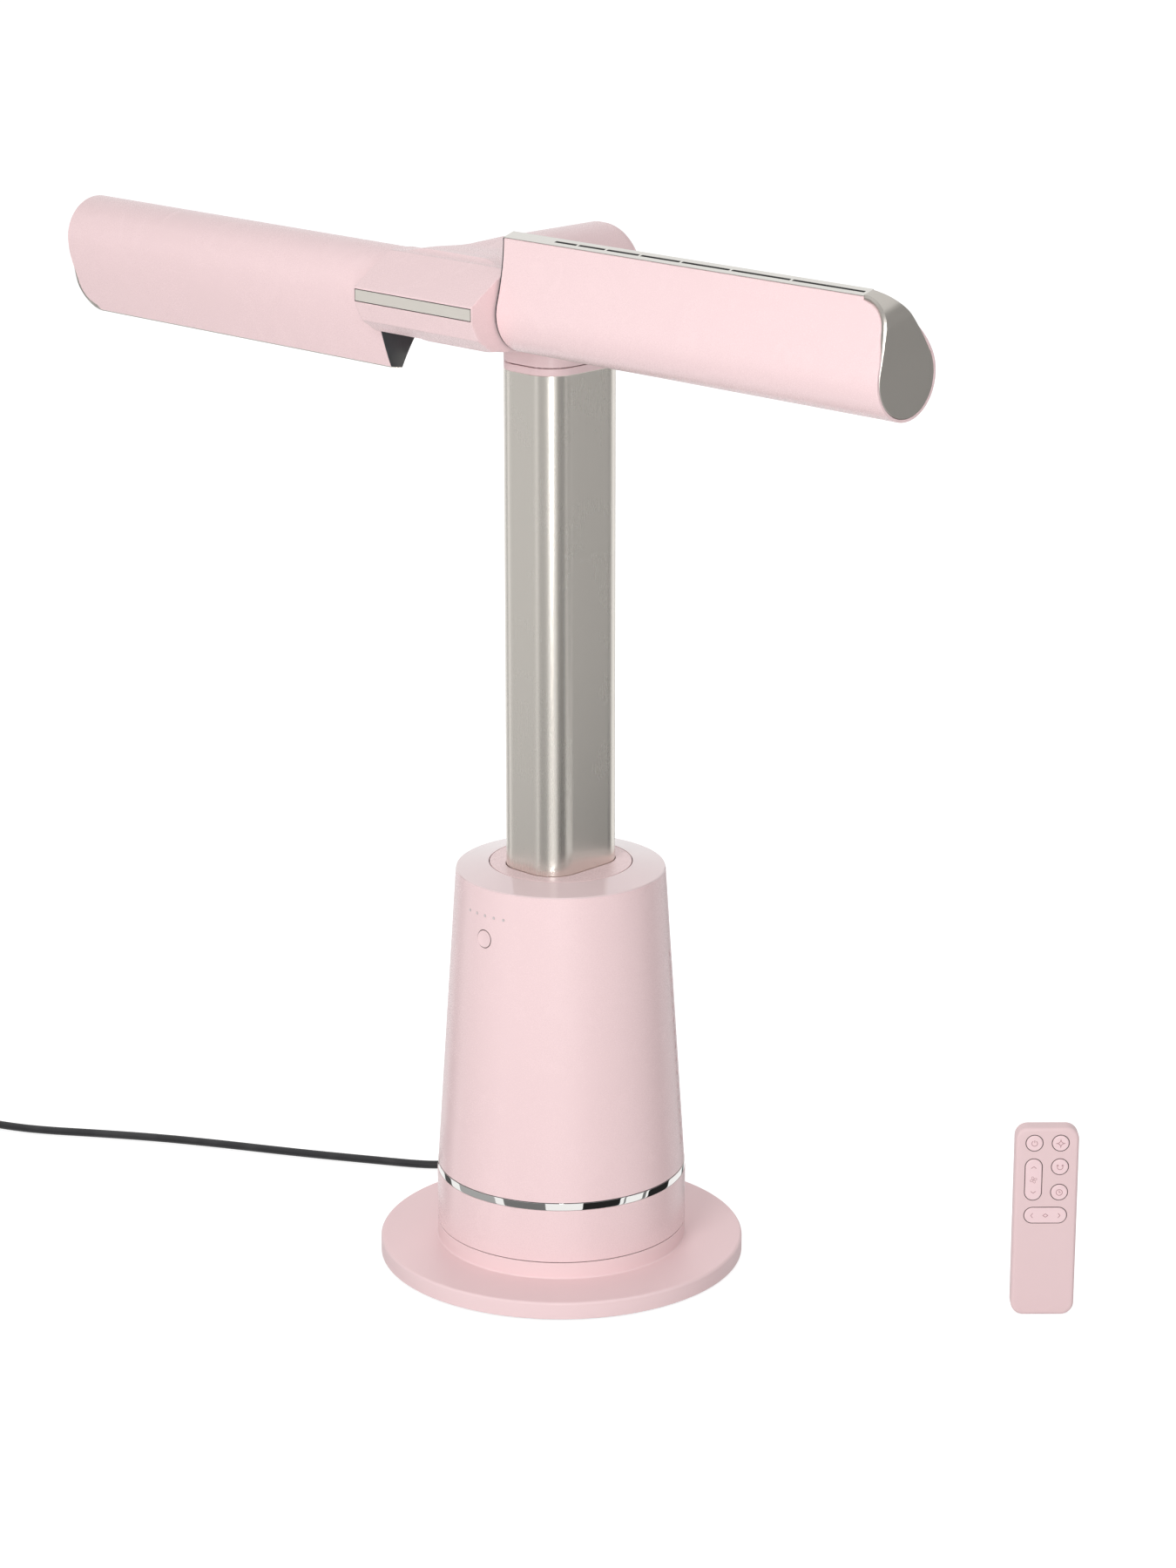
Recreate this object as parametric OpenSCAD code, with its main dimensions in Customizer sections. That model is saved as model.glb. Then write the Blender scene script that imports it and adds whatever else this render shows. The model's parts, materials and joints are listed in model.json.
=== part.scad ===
// Bladeless twin-arm fan on a telescoping pole, with its remote control.
// Millimetres. +Z is up and -Y is the front. The origin is the centre of the
// underside of the base plate. The two air arms lie along X.

/* [Base] */
// Diameter of the round base plate
base_d = 280; // [250:1:320]
// Height of the top of the base plate over the floor
base_h = 15; // [13:0.5:18]
// Wall of the base cover
base_wall = 3; // [2:0.1:3.5]
// Height of the fixed skirt over the base plate
skirt_h = 12.8; // [12:0.2:18]
// Diameter of the rubber feet
pad_d = 16; // [12:1:20]

/* [Body] */
// Diameter of the body where it meets the base
body_d = 191.4; // [180:0.2:210]
// Diameter of the body at its top edge
body_top_d = 159; // [150:0.5:170]
// Height of the straight lower housing
lower_h = 41.8; // [38:0.2:56]
// Height of the bright trim ring
trim_h = 6; // [3:0.5:9]
// Height of the tapered body shell
shell_h = 235.6; // [225:0.2:300]
// Wall of the body shells
body_wall = 2.5; // [2:0.1:3.2]
// Rise of the top cap from its rim to the collar
cap_rise = 5; // [3:0.5:8]
// Diameter of the collar round the pole
collar_d = 107.6; // [106:0.2:116]

/* [Intake] */
// Width of the rear intake grille, in degrees
intake_angle = 120; // [90:2:140]
// Height of the intake grille
intake_h = 156; // [110:2:190]
// Height of the grille's lower edge over the trim ring
intake_rise = 18; // [12:1:30]
// Diameter of one grille hole
hole_d = 4; // [3:0.25:5]
// Rows of grille holes
hole_rows = 15; // [10:1:18]
// Columns of grille holes
hole_cols = 15; // [9:2:17]

/* [Controls] */
// Diameter of the power button
button_d = 13.7; // [10:0.1:18]
// Travel of the power button
button_travel = 0.8; // [0.4:0.1:1.2]
// Drop of the power button below the top edge of the body
button_drop = 38; // [30:1:60]
// Number of indicator lenses
light_count = 5; // [3:1:7]
// Spacing of the indicator lenses
light_pitch = 8.8; // [6:0.2:10]
// Diameter of one indicator lens
light_d = 2.2; // [1.5:0.1:4]

/* [Air mover] */
// Diameter of the impeller
impeller_d = 84; // [70:1:90]
// Number of impeller blades
impeller_blades = 9; // [7:1:13]
// Diameter of the impeller shaft
shaft_d = 6; // [5:0.5:8]
// Diameter of the fan motor
motor_d = 40; // [30:1:44]

/* [Pole] */
// Width of the pole, side to side
pole_w = 62; // [54:1:66]
// Depth of the pole, front to back
pole_depth = 80; // [70:1:82]
// Corner radius of the pole
pole_r = 22; // [14:0.5:26]
// Wall of the pole tube
pole_wall = 2.2; // [1.5:0.1:3]
// Length of pole that shows at its lowest setting
pole_show = 379.2; // [300:0.1:480]
// Height adjustment of the pole
pole_travel = 120; // [60:5:135]

/* [Head] */
// Diameter of the fixed barrel at the top of the neck
barrel_d = 78; // [72:1:84]
// Reach of the barrel behind the pole axis
barrel_back = 48; // [42:1:60]
// Distance of the pivot plane in front of the pole axis
pivot_y = 50; // [46:0.5:54]
// Distance of the arm axis in front of the pole axis
arm_y = 96; // [94:1:104]
// Distance of the nose in front of the arm axis
nose_reach = 52; // [44:1:60]
// Height of the display strip on the nose
display_h = 9; // [6:0.5:11]

/* [Arms] */
// Span over both arm ends
arm_span = 816; // [680:2:830]
// Distance of the inner end of an arm from the middle
root_x = 60; // [56:1:70]
// Radius of the round side of an arm
bulb_r = 29.6; // [28.5:0.1:32]
// Reach of the thin edge of an arm from its axis
tip_reach = 57.5; // [52:0.5:62]
// Width of the thin edge
tip_w = 11; // [9:0.5:13]
// Wall of an arm
arm_wall = 2.2; // [1.6:0.1:2.6]
// Radius of the outer corner of the thin edge
corner_r = 20; // [12:1:24]
// Width of the air slot
slot_w = 1.8; // [1.2:0.1:3]

/* [Remote control] */
// Width of the remote control
remote_w = 47; // [40:1:56]
// Height of the remote control
remote_h = 150; // [136:1:180]
// Thickness of the remote control
remote_t = 14; // [12:0.5:18]
// Diameter of its round keys
key_d = 12.2; // [9:0.1:13]

/* [Mains lead] */
// Diameter of the mains lead
lead_d = 6.5; // [5:0.1:7.5]

/* [Hidden] */
$fn = 64;

// Clearances
seam = 0.6;        // open line between pieces that turn on each other
run_fit = 0.05;    // radial clearance of a shaft or spindle in its bore
slide_gap = 0.3;   // clearance of the pole in its bushes
seat = 0.1;        // clearance of a piece that is fixed in its seat
eps = 0.01;        // overlap that keeps cuts clean

// Levels
foot_rise = 1.5;                          // floor to the underside of the bottom plate
bottom_t = 2.5;                           // bottom plate
skirt_top = base_h + skirt_h;
tower_z = skirt_top + seam;               // underside of the turning body
trim_z = tower_z + lower_h;
shell_z = trim_z + trim_h;
cap_z = shell_z + shell_h;                // top edge of the body shell
collar_z = cap_z + cap_rise;              // top of the collar
pole_top = collar_z + pole_show;
neck_collar_h = 5.2;
neck_z = pole_top + neck_collar_h + seam / 2;
neck_h = 56;                              // neck seam to the arm axis
axis_z = neck_z + neck_h;

// Base
base_r = base_d / 2;
edge_r = 2;                               // rounding of the base plate's top edge
weight_h = 6;
spindle_r = 16;                           // fixed hollow spindle that the body turns on
spindle_h = 12;                           // spindle above the turning floor
foot_ring = base_r - 18;                  // radius of the ring of feet
feet = 5;
screw_ring = spindle_r + 12;
screw_count = 4;
screw_d = 4;
floor_t = 3;                              // floor of the turning body

// Swing drive: a pinion on the body runs in a fixed internal gear
gear_module = 2;
ring_teeth = 48;
pinion_teeth = 12;
ring_pitch_r = gear_module * ring_teeth / 2;
pinion_pitch_r = gear_module * pinion_teeth / 2;
pinion_y = ring_pitch_r - pinion_pitch_r;
tooth_reach = 0.75 * gear_module;         // tooth tip beyond the pitch circle
tooth_depth = 0.95 * gear_module;         // tooth root beyond the pitch circle
tooth_share = 0.34;                       // share of the pitch that a tooth fills
ring_gear_h = 7;
pinion_h = 6;
pinion_shaft_r = 2.5;
bearing_r = ring_pitch_r + 14;            // inner radius of the turntable bearing
bearing_w = 8;
swing_motor_r = 17;
swing_motor_h = 15;

// Body
body_r = body_d / 2;
body_top_r = body_top_d / 2;
shell_foot_r = body_r - 0.7;
taper = (shell_foot_r - body_top_r) / shell_h;
lean = atan(taper);                       // lean of the body's front from upright
collar_r = collar_d / 2;
panel_gap = 0.4;                          // line round the grille panel
rib = 2;                                  // flat rim of the grille inside its holes
filter_t = 2;
function body_at(z) = shell_foot_r - taper * (z - shell_z);

// Air mover, from the tower floor up
inlet_z = tower_z + floor_t + 22;
shroud_gap = 1;                           // impeller tip to shroud
shroud_r = impeller_d / 2 + shroud_gap;
shroud_wall = 2.5;
inlet_h = 7;
inlet_flare = 9;
impeller_z = inlet_z + inlet_h;
impeller_h = 26;
impeller_hub_r = 16;
diffuser_z = impeller_z + impeller_h;
diffuser_h = 30;
vane_count = 9;
vane_t = 1.6;
cup_wall = 2;
motor_h = 24;
duct_z = diffuser_z + diffuser_h;
duct_taper_h = 14;                        // round shroud to the pole's outline
sleeve_z = duct_z + duct_taper_h;
sleeve_wall = 2;
bush_wall = 2;                            // bush on the pole's foot
bush_h = 12;
guide_h = 12;                             // fixed bush under the collar
guide_wall = 4;                           // wall of that bush
guide_reach = norm([pole_w / 2 - pole_r, pole_depth / 2 - pole_r]) + pole_r + slide_gap + guide_wall;
shelf_r = guide_reach + 0.4;              // bore of the shelf that the bush stands in
collar_t = 12;                            // depth of the collar
guide_z = collar_z - collar_t - guide_h;
foot_z = guide_z - 8 - bush_h - pole_travel;   // lowest point of the pole at rest
sleeve_gap = bush_wall + slide_gap;

// Head
barrel_r = barrel_d / 2;
barrel_wall = 2.6;
rear_cap_t = 4;
sleeve_r = 26;                            // pivot sleeve that the hub turns on
sleeve_bore = 23;
hub_back_t = 6;
pivot_reach = 17;                         // sleeve in front of the pivot plane
pipe_r = bulb_r + 0.8;                    // hub round the arm axis
hub_side = root_x - seam / 2;             // half width of the hub
core_half = 44;                           // half width of the hub's air chamber
hub_wall = 3;
spigot_r = bulb_r - 7.6;                  // turning spigot on the root of an arm
spigot_wall = 3;
arm_bush_t = 3;
arm_bush_l = 12;
nose_y = arm_y + nose_reach;
nose_low = 3.5;                           // nose below and above the arm axis
nose_high = 8;
brow_y = arm_y + 17;                      // crease where the nose meets the hub's top
display_w = 2 * hub_side - 1.6;
display_t = 2;
right_rest = 16.6;                        // turn of each arm at rest, from slot up
left_rest = 170;

// Arms
arm_end = arm_span / 2;
arm_seam = 0.5;
arm_start = root_x + arm_seam / 2;
root_t = 1.2;
strip_t = 3.5;                            // metal strip over the thin edge
shoulder = tip_reach - strip_t;           // where the arm's walls stop
cap_t = 3.5;
slot_growth = 1.2;                        // each air slot is this much longer than the last
slot_total = 7;
slot_rib = 1.8;
slot_start = arm_start + 46;
slot_margin = 3;                          // solid strip beyond the last slot
slot_room = arm_end - corner_r - slot_margin - slot_start - (slot_total - 1) * slot_rib;
slot_first = slot_room * (slot_growth - 1) / (pow(slot_growth, slot_total) - 1);
rear_angle = 15;                          // where the flanks leave the round side
front_angle = 150;

// Remote control, standing on its foot
remote_pos = [343, 164];
remote_turn = 44.5;
remote_wall = 1.8;
remote_corner = 9.5;
key_gap = 0.25;
key_travel = 0.6;
key_proud = 0.6;
key_x = 9.7;
key_rows = [0.92, 0.795, 0.66];           // key heights as shares of the remote's height
speed_at = 0.727;
twist_at = 0.537;
speed_l = 32.5;
twist_l = 31.4;
board_t = 1.6;

// Mains lead: free route of the lead, round numbers
lead_r = lead_d / 2;
exit_z = 8;
exit_turn = 29;                           // turn of the lead's exit from straight back
relief_l = 34;
relief_flange = 5;
lead_route = [
    [-87.3, 157.4, 8], [-94, 163, 7.3], [-104, 174, 5.6], [-119, 180, 4.1], [-135, 180, 3.4],
    [-149, 172, 3.3], [-158, 160, 3.3], [-161, 147, 3.3], [-162, 128, 3.3], [-164, 108, 3.3],
    [-166, 88, 3.3], [-171, 68, 3.3], [-180, 50, 3.3], [-195, 36, 3.3], [-226, 18, 3.3],
    [-262, -3, 3.3], [-302, -25, 3.3], [-350, -50, 3.3], [-394, -75, 3.3], [-438, -104, 3.3],
    [-480, -134, 3.3], [-514, -150, 3.3], [-538, -156, 3.3], [-553, -157.5, 3.3]
];
coil_pos = [-564, -203.4];
coil_r = 36;                              // middle of the coil's turns
coil_w = 4 * lead_d + 0.4;                // four turns wide and two high
coil_h = 2 * lead_d + 0.2;
plug_turn = -90;
plug_tail = 18;                           // tapered neck of the plug
tail_r = lead_r + 1;
plug_size = [34, 24, 20];
outer_turn = coil_r + 1.5 * (lead_d + 0.1);   // middle of the coil's outermost turn
plug_rest = coil_r + coil_w / 2 + tail_r + 0.3;
plug_pos = [coil_pos[0] - outer_turn,
    coil_pos[1] - sqrt(pow(plug_rest, 2) - pow(outer_turn, 2)) - plug_tail, plug_size[2] / 2];
pin_l = 17;
pin_gap = 12.7;

// ---------- outlines and helpers ----------

module rounded_rect(w, d, r) {
    square([w - 2 * r, d], center = true);
    square([w, d - 2 * r], center = true);
    for (sx = [-1, 1], sy = [-1, 1])
        translate([sx * (w / 2 - r), sy * (d / 2 - r)]) circle(r);
}

// The pole's outline, grown all round
module pole_outline(grow = 0) {
    rounded_rect(pole_w + 2 * grow, pole_depth + 2 * grow, pole_r + grow);
}

module ring(r_out, r_in, h) {
    difference() {
        cylinder(r = r_out, h = h);
        translate([0, 0, -1]) cylinder(r = r_in, h = h + 2);
    }
}

function polar(r, a) = [r * cos(a), r * sin(a)];
function bend(a, b, c, t) = (1 - t) * (1 - t) * a + 2 * t * (1 - t) * b + t * t * c;
function unit(v) = v / norm(v);

// Outline of an arm across its length, with the thin edge up, drawn inset by t.
// Round side, then the full rear flank, the flat edge and the hollow front flank.
flank_steps = 7;
bulb_steps = 26;
function arm_outline(t) = let (
        r = bulb_r - t,
        rear = polar(r, rear_angle),
        front = polar(r, front_angle),
        rear_pull = [0.77 * bulb_r - t, 0.51 * tip_reach],
        front_pull = [-0.39 * bulb_r + t, 0.64 * tip_reach],
        rear_top = [tip_w / 2 - t, shoulder],
        front_top = [-tip_w / 2 + t, shoulder])
    concat(
        [for (i = [0 : bulb_steps])
            polar(r, front_angle + (360 + rear_angle - front_angle) * i / bulb_steps)],
        [for (i = [1 : flank_steps]) bend(rear, rear_pull, rear_top, i / flank_steps)],
        [for (i = [0 : flank_steps - 1]) bend(front_top, front_pull, front, i / flank_steps)]);

// Extrudes a cross outline along +X from x0 to x1, with its own Y up
module along_x(x0, x1) {
    translate([x0, 0, 0]) rotate([90, 0, 90]) linear_extrude(x1 - x0) children();
}

// Side outline of an arm's outer end, inset by t, with its rounded corner
module end_profile(t) {
    r = corner_r - t;
    low = bulb_r + 1;
    translate([0, -low]) square([arm_end - t, low + tip_reach - corner_r]);
    translate([0, -low]) square([arm_end - corner_r, low + tip_reach - t]);
    translate([arm_end - corner_r, tip_reach - corner_r]) circle(r);
}

// What lies outside the rounded end of an arm
module beyond_end() {
    side = 2 * tip_reach;
    translate([0, side / 2, 0]) rotate([90, 0, 0]) linear_extrude(side) difference() {
        translate([arm_end - corner_r, tip_reach - corner_r]) square(corner_r + 5);
        translate([arm_end - corner_r, tip_reach - corner_r]) circle(corner_r);
    }
}

module place_right() { translate([0, -arm_y, axis_z]) rotate([right_rest, 0, 0]) children(); }
module place_left() {
    translate([0, -arm_y, axis_z]) rotate([left_rest, 0, 0]) mirror([1, 0, 0]) children();
}

// A spot on the body's front at height z, with +Z pointing out of the surface
module on_front(z) {
    translate([0, -body_at(z), z]) rotate([90 - lean, 0, 0]) children();
}

// Outline of a gear, as points; with r_root outside r_tip it is the bore of a ring gear
function gear_outline(count, r_root, r_tip, r_pitch) =
    let (half = 360 * tooth_share / count / 2)
    [for (i = [0 : count - 1]) let (a = i * 360 / count)
        each [
            polar(r_root, a - half * 1.4), polar(r_pitch, a - half), polar(r_tip, a - half * 0.6),
            polar(r_tip, a + half * 0.6), polar(r_pitch, a + half), polar(r_root, a + half * 1.4)]];

// A tube swept along points, as one closed mesh
module sweep(points, r, sides) {
    n = len(points);
    dirs = [for (i = [0 : n - 1]) unit(points[min(i + 1, n - 1)] - points[max(i - 1, 0)])];
    verts = [for (i = [0 : n - 1]) let (
            side = unit(cross([0, 0, 1], dirs[i])),
            up = cross(dirs[i], side))
        for (k = [0 : sides - 1]) points[i] + r * (cos(360 * k / sides) * side
            + sin(360 * k / sides) * up)];
    faces = concat(
        [[for (k = [0 : sides - 1]) sides - 1 - k]],
        [for (i = [0 : n - 2], k = [0 : sides - 1]) let (a = i * sides, b = (k + 1) % sides)
            [a + k, a + b, a + sides + b, a + sides + k]],
        [[for (k = [0 : sides - 1]) (n - 1) * sides + k]]);
    polyhedron(verts, [for (f = faces) [for (i = [len(f) - 1 : -1 : 0]) f[i]]]);
}

// Rounds a route: each leg between middles of its points is a smooth bend
function smooth(p, steps) = concat(
    [p[0]],
    [for (i = [1 : len(p) - 2]) let (a = (p[i - 1] + p[i]) / 2, c = (p[i] + p[i + 1]) / 2)
        for (k = [0 : steps - 1]) bend(a, p[i], c, k / steps)],
    [(p[len(p) - 2] + p[len(p) - 1]) / 2, p[len(p) - 1]]);

// ---------- base ----------

module base_cover() {
    color("pink") difference() {
        union() {
            rotate_extrude($fn = 120) union() {
                translate([0, foot_rise]) square([base_r, base_h - foot_rise - edge_r]);
                translate([0, base_h - edge_r - eps]) square([base_r - edge_r, edge_r + eps]);
                intersection() {
                    translate([base_r - edge_r, base_h - edge_r]) circle(edge_r);
                    translate([base_r - edge_r - eps, base_h - edge_r - eps])
                        square(edge_r + 2 * eps);
                }
            }
            translate([0, 0, base_h - eps]) cylinder(r = body_r, h = skirt_h + eps);
        }
        // hollow under the plate for the weight and the bottom plate
        translate([0, 0, -1]) ring(base_r - base_wall, screw_ring + 6, base_h - base_wall + 1);
        translate([0, 0, -1]) cylinder(r = screw_ring + 6 + eps, h = 1 + foot_rise + bottom_t);
        for (i = [0 : screw_count - 1])
            rotate(45 + i * 360 / screw_count) translate([screw_ring, 0, 0])
                cylinder(d = screw_d, h = base_h - base_wall);
        // space inside the skirt round the spindle
        difference() {
            translate([0, 0, base_h]) cylinder(r = body_r - base_wall, h = skirt_h + 1);
            cylinder(r = spindle_r, h = skirt_top + 2);
        }
        translate([0, 0, -1]) cylinder(r = spindle_r - 3, h = skirt_top + 3);
        // passage of the lead
        rotate(exit_turn) {
            translate([0, base_r - base_wall - 6, exit_z]) rotate([-90, 0, 0])
                cylinder(r = lead_r + 1.8, h = base_wall + 8);
            relief_pocket();
        }
    }
    color("pink") difference() {
        translate([0, 0, skirt_top - eps]) ring(spindle_r, spindle_r - 3, seam + floor_t + spindle_h);
        translate([0, 0, -1]) cylinder(r = spindle_r - 3, h = skirt_top + 3);
    }
}

// Pocket inside the rim for the strain relief's flange
module relief_pocket() {
    translate([0, base_r - base_wall - relief_flange, exit_z]) rotate([-90, 0, 0])
        cylinder(r = lead_r + 2.4 + seat, h = relief_flange);
}

module base_bottom_plate() {
    color("dimgray") difference() {
        translate([0, 0, foot_rise]) cylinder(r = base_r - base_wall - seat, h = bottom_t);
        translate([0, 0, foot_rise - 1]) foot_places() cylinder(d = pad_d, h = 2);
        rotate(exit_turn) translate([-lead_r - 3, base_r - base_wall - relief_flange - 1, 0])
            cube([2 * lead_r + 6, 10, base_h]);
        for (i = [0 : screw_count - 1])
            rotate(45 + i * 360 / screw_count) translate([screw_ring, 0, -1])
                cylinder(d = screw_d + 0.6, h = base_h);
    }
}

module base_weight() {
    color("slategray") difference() {
        translate([0, 0, foot_rise + bottom_t])
            ring(base_r - base_wall - 8, screw_ring + 8, weight_h);
        // notch for the lead's clamp
        rotate(exit_turn) translate([-12, base_r - 40, 0]) cube([24, 60, base_h]);
    }
}

// One foot in the middle and a ring of them near the rim
module foot_places() {
    children();
    for (i = [0 : feet - 1])
        rotate(exit_turn + 90 + (i + 0.5) * 360 / feet) translate([foot_ring, 0, 0]) children();
}

module rubber_feet() {
    color("black") foot_places() cylinder(d = pad_d - 2 * seat, h = foot_rise + 1 - seat);
}

module base_screws() {
    color("silver") for (i = [0 : screw_count - 1])
        rotate(45 + i * 360 / screw_count) translate([screw_ring, 0, foot_rise - 1.2]) {
            cylinder(d = screw_d + 3, h = 1.2);
            cylinder(d = screw_d - 0.2, h = base_h - base_wall - foot_rise);
        }
}

// Low-friction ring that carries the turning body
module turntable_bearing() {
    color("white") translate([0, 0, base_h]) ring(bearing_r + bearing_w, bearing_r, tower_z - base_h);
}

module swing_ring_gear() {
    color("ivory") translate([0, 0, base_h]) linear_extrude(ring_gear_h) difference() {
        circle(ring_pitch_r + tooth_depth + 5, $fn = 96);
        rotate(180 / ring_teeth) polygon(gear_outline(
            ring_teeth, ring_pitch_r + tooth_depth, ring_pitch_r - tooth_reach, ring_pitch_r));
    }
}

module cord_strain_relief() {
    y0 = base_r - base_wall - relief_flange + seat;
    y1 = base_r - base_wall - seat;
    color("black") translate([0, 0, exit_z]) rotate([-90, 0, exit_turn]) rotate_extrude() polygon([
        [1, y0], [lead_r + 2.4, y0], [lead_r + 2.4, y1], [lead_r + 1.7, y1],
        [lead_r + 1.7, base_r + 0.1], [lead_r + 2.6, base_r + 0.1], [lead_r + 2.6, base_r + 3],
        [lead_r + 1, base_r + relief_l], [1, base_r + relief_l]]);
}

module mains_lead() {
    exit = polar(base_r + relief_l, 90 + exit_turn);
    color("black") sweep(smooth(concat([[exit[0], exit[1], exit_z]], lead_route), 3), lead_r, 8);
}

module lead_coil() {
    color("black") translate([coil_pos[0], coil_pos[1], 0]) rotate_extrude()
        translate([coil_r - coil_w / 2, 0]) square([coil_w, coil_h]);
}

module place_plug() { translate(plug_pos) rotate([0, 0, plug_turn]) children(); }

module plug_body() {
    l = plug_size[0];
    color("black") place_plug() difference() {
        union() {
            translate([0, -plug_size[1] / 2, -plug_size[2] / 2]) cube(plug_size);
            translate([-plug_tail, 0, 0]) rotate([0, 90, 0])
                cylinder(r1 = tail_r, r2 = 8, h = plug_tail + eps);
        }
        for (s = [-1, 1])
            translate([l - 6, s * pin_gap / 2 - 0.8 - eps, -3.2 - eps])
                cube([7, 1.6 + 2 * eps, 6.4 + 2 * eps]);
    }
}

module plug_pins() {
    color("silver") place_plug() for (s = [-1, 1])
        translate([plug_size[0] - 6, s * pin_gap / 2 - 0.8, -3.2]) cube([6 + pin_l, 1.6, 6.4]);
}

// ---------- turning body ----------

module lower_housing() {
    color("pink") translate([0, 0, tower_z]) difference() {
        cylinder(r = body_r, h = lower_h);
        translate([0, 0, floor_t]) cylinder(r = body_r - body_wall, h = lower_h);
        translate([0, 0, -1]) cylinder(r = spindle_r + run_fit, h = floor_t + 2);
        translate([0, pinion_y, -1]) cylinder(r = pinion_shaft_r + 1, h = floor_t + 2);
    }
}

module trim_ring() {
    color("gainsboro") translate([0, 0, trim_z]) ring(shell_foot_r + 0.4, shell_foot_r - 4, trim_h);
}

// A tapered ring of the body wall between two heights, grown by g
module wall_ring(z0, z1, g, t) {
    rotate_extrude($fn = 120) polygon([
        [body_at(z0) + g - t, z0], [body_at(z0) + g, z0],
        [body_at(z1) + g, z1], [body_at(z1) + g - t, z1]]);
}

// Wedge about the rear of the body, half_angle to each side
module rear_wedge(half_angle, z0, z1) {
    reach = 2 * body_r;
    translate([0, 0, z0]) linear_extrude(z1 - z0) polygon([
        [0, 0], [reach * sin(half_angle), reach * cos(half_angle)],
        [reach * sin(half_angle / 2), reach * cos(half_angle / 2)], [0, reach],
        [-reach * sin(half_angle / 2), reach * cos(half_angle / 2)],
        [-reach * sin(half_angle), reach * cos(half_angle)]]);
}

intake_z = shell_z + intake_rise;
gap_angle = panel_gap / body_r * 180 / PI;

module body_shell() {
    color("pink") difference() {
        wall_ring(shell_z, cap_z, 0, body_wall);
        rear_wedge(intake_angle / 2, intake_z, intake_z + intake_h);
        on_front(cap_z - button_drop) translate([0, 0, -2 * body_wall])
            cylinder(r = button_d / 2 + key_gap, h = 4 * body_wall);
        lens_places() translate([0, 0, -2 * body_wall]) cylinder(d = light_d, h = 4 * body_wall);
    }
}

module lens_places() {
    for (i = [0 : light_count - 1]) {
        spin = (i - (light_count - 1) / 2) * light_pitch / body_at(cap_z - 20) * 180 / PI;
        rotate(spin) on_front(cap_z - 20) children();
    }
}

module intake_grille() {
    step_a = (intake_angle - 10) / hole_cols;
    step_z = (intake_h - 2 * rib - hole_d) / (hole_rows - 1);
    color("pink") difference() {
        intersection() {
            wall_ring(intake_z + panel_gap, intake_z + intake_h - panel_gap, 0, body_wall);
            rear_wedge(intake_angle / 2 - gap_angle, intake_z, intake_z + intake_h);
        }
        for (c = [0 : hole_cols - 1], r = [0 : hole_rows - 1])
            rotate((c - (hole_cols - 1) / 2) * step_a)
                translate([0, body_top_r - 8, intake_z + rib + hole_d / 2 + r * step_z])
                    rotate([-90, 0, 0]) cylinder(d = hole_d, h = body_r - body_top_r + 12, $fn = 16);
    }
}

module intake_filter() {
    color("dimgray") intersection() {
        wall_ring(intake_z - 4, intake_z + intake_h + 4, -body_wall - 3 * seat, filter_t);
        rear_wedge(intake_angle / 2 + 2, intake_z - 4, intake_z + intake_h + 4);
    }
}

module top_cap() {
    lip = 3;
    color("pink") rotate_extrude($fn = 120) polygon([
        [body_top_r - 0.1, cap_z], [body_top_r - 0.6, cap_z + 1], [collar_r + seat, collar_z],
        [collar_r + seat, guide_z + guide_h - lip], [shelf_r, guide_z + guide_h - lip],
        [shelf_r, guide_z + guide_h - 2 * lip], [collar_r + lip, guide_z + guide_h - 2 * lip],
        [collar_r + lip, cap_z - lip / 2], [body_top_r - body_wall - seat, cap_z - lip],
        [body_top_r - body_wall - seat, cap_z]]);
}

module pole_collar() {
    color("pink") translate([0, 0, guide_z + guide_h]) difference() {
        translate([0, 0, -3 + seat]) cylinder(r = collar_r, h = collar_t + 3 - seat);
        translate([0, 0, -5]) linear_extrude(collar_t + 9) pole_outline(slide_gap + 0.2);
        translate([0, 0, -5]) linear_extrude(5) pole_outline(slide_gap + guide_wall + seat);
    }
}

module pole_bush() {
    color("dimgray") translate([0, 0, guide_z]) linear_extrude(guide_h) difference() {
        pole_outline(slide_gap + guide_wall);
        pole_outline(slide_gap);
    }
}

module power_button() {
    color("pink") on_front(cap_z - button_drop) {
        translate([0, 0, -body_wall - 1]) cylinder(d = button_d, h = body_wall + 1.3);
        translate([0, 0, -body_wall - 4]) cylinder(d = 5, h = 3 + eps);
    }
}

module indicator_lenses() {
    color("white") lens_places() translate([0, 0, -body_wall - 0.5])
        cylinder(d = light_d - 2 * seat, h = body_wall + 0.6);
}

module control_board() {
    back = body_wall + 4 + button_travel + 0.3;
    sag = 22 * 22 / body_top_r / 2 + 0.5;     // the shell curves away from the posts
    color("darkgreen") on_front(cap_z - button_drop) {
        translate([-23, -26, -back - 3 - board_t]) cube([46, 52, board_t]);
        translate([-3.5, -3.5, -back - 3 - eps]) cube([7, 7, 3 + eps]);
        for (s = [-1, 1], y = [-24, 18])
            translate([s * 19 - 3, y, -back - 3 - eps]) cube([6, 6, back + 3 - body_wall - sag]);
        translate([-8, -20, -back - 3 - board_t - 4]) cube([16, 10, 4 + eps]);
    }
}

module power_board() {
    color("darkgreen") translate([-78, -24, tower_z + floor_t]) {
        translate([0, 0, 6]) cube([34, 48, board_t]);
        for (x = [3, 31], y = [3, 45]) translate([x, y, 0]) cylinder(d = 5, h = 6 + eps);
        translate([8, 8, 6 + board_t - eps]) cube([16, 14, 12]);
        translate([20, 34, 6 + board_t - eps]) cylinder(d = 10, h = 12);
    }
}

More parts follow.
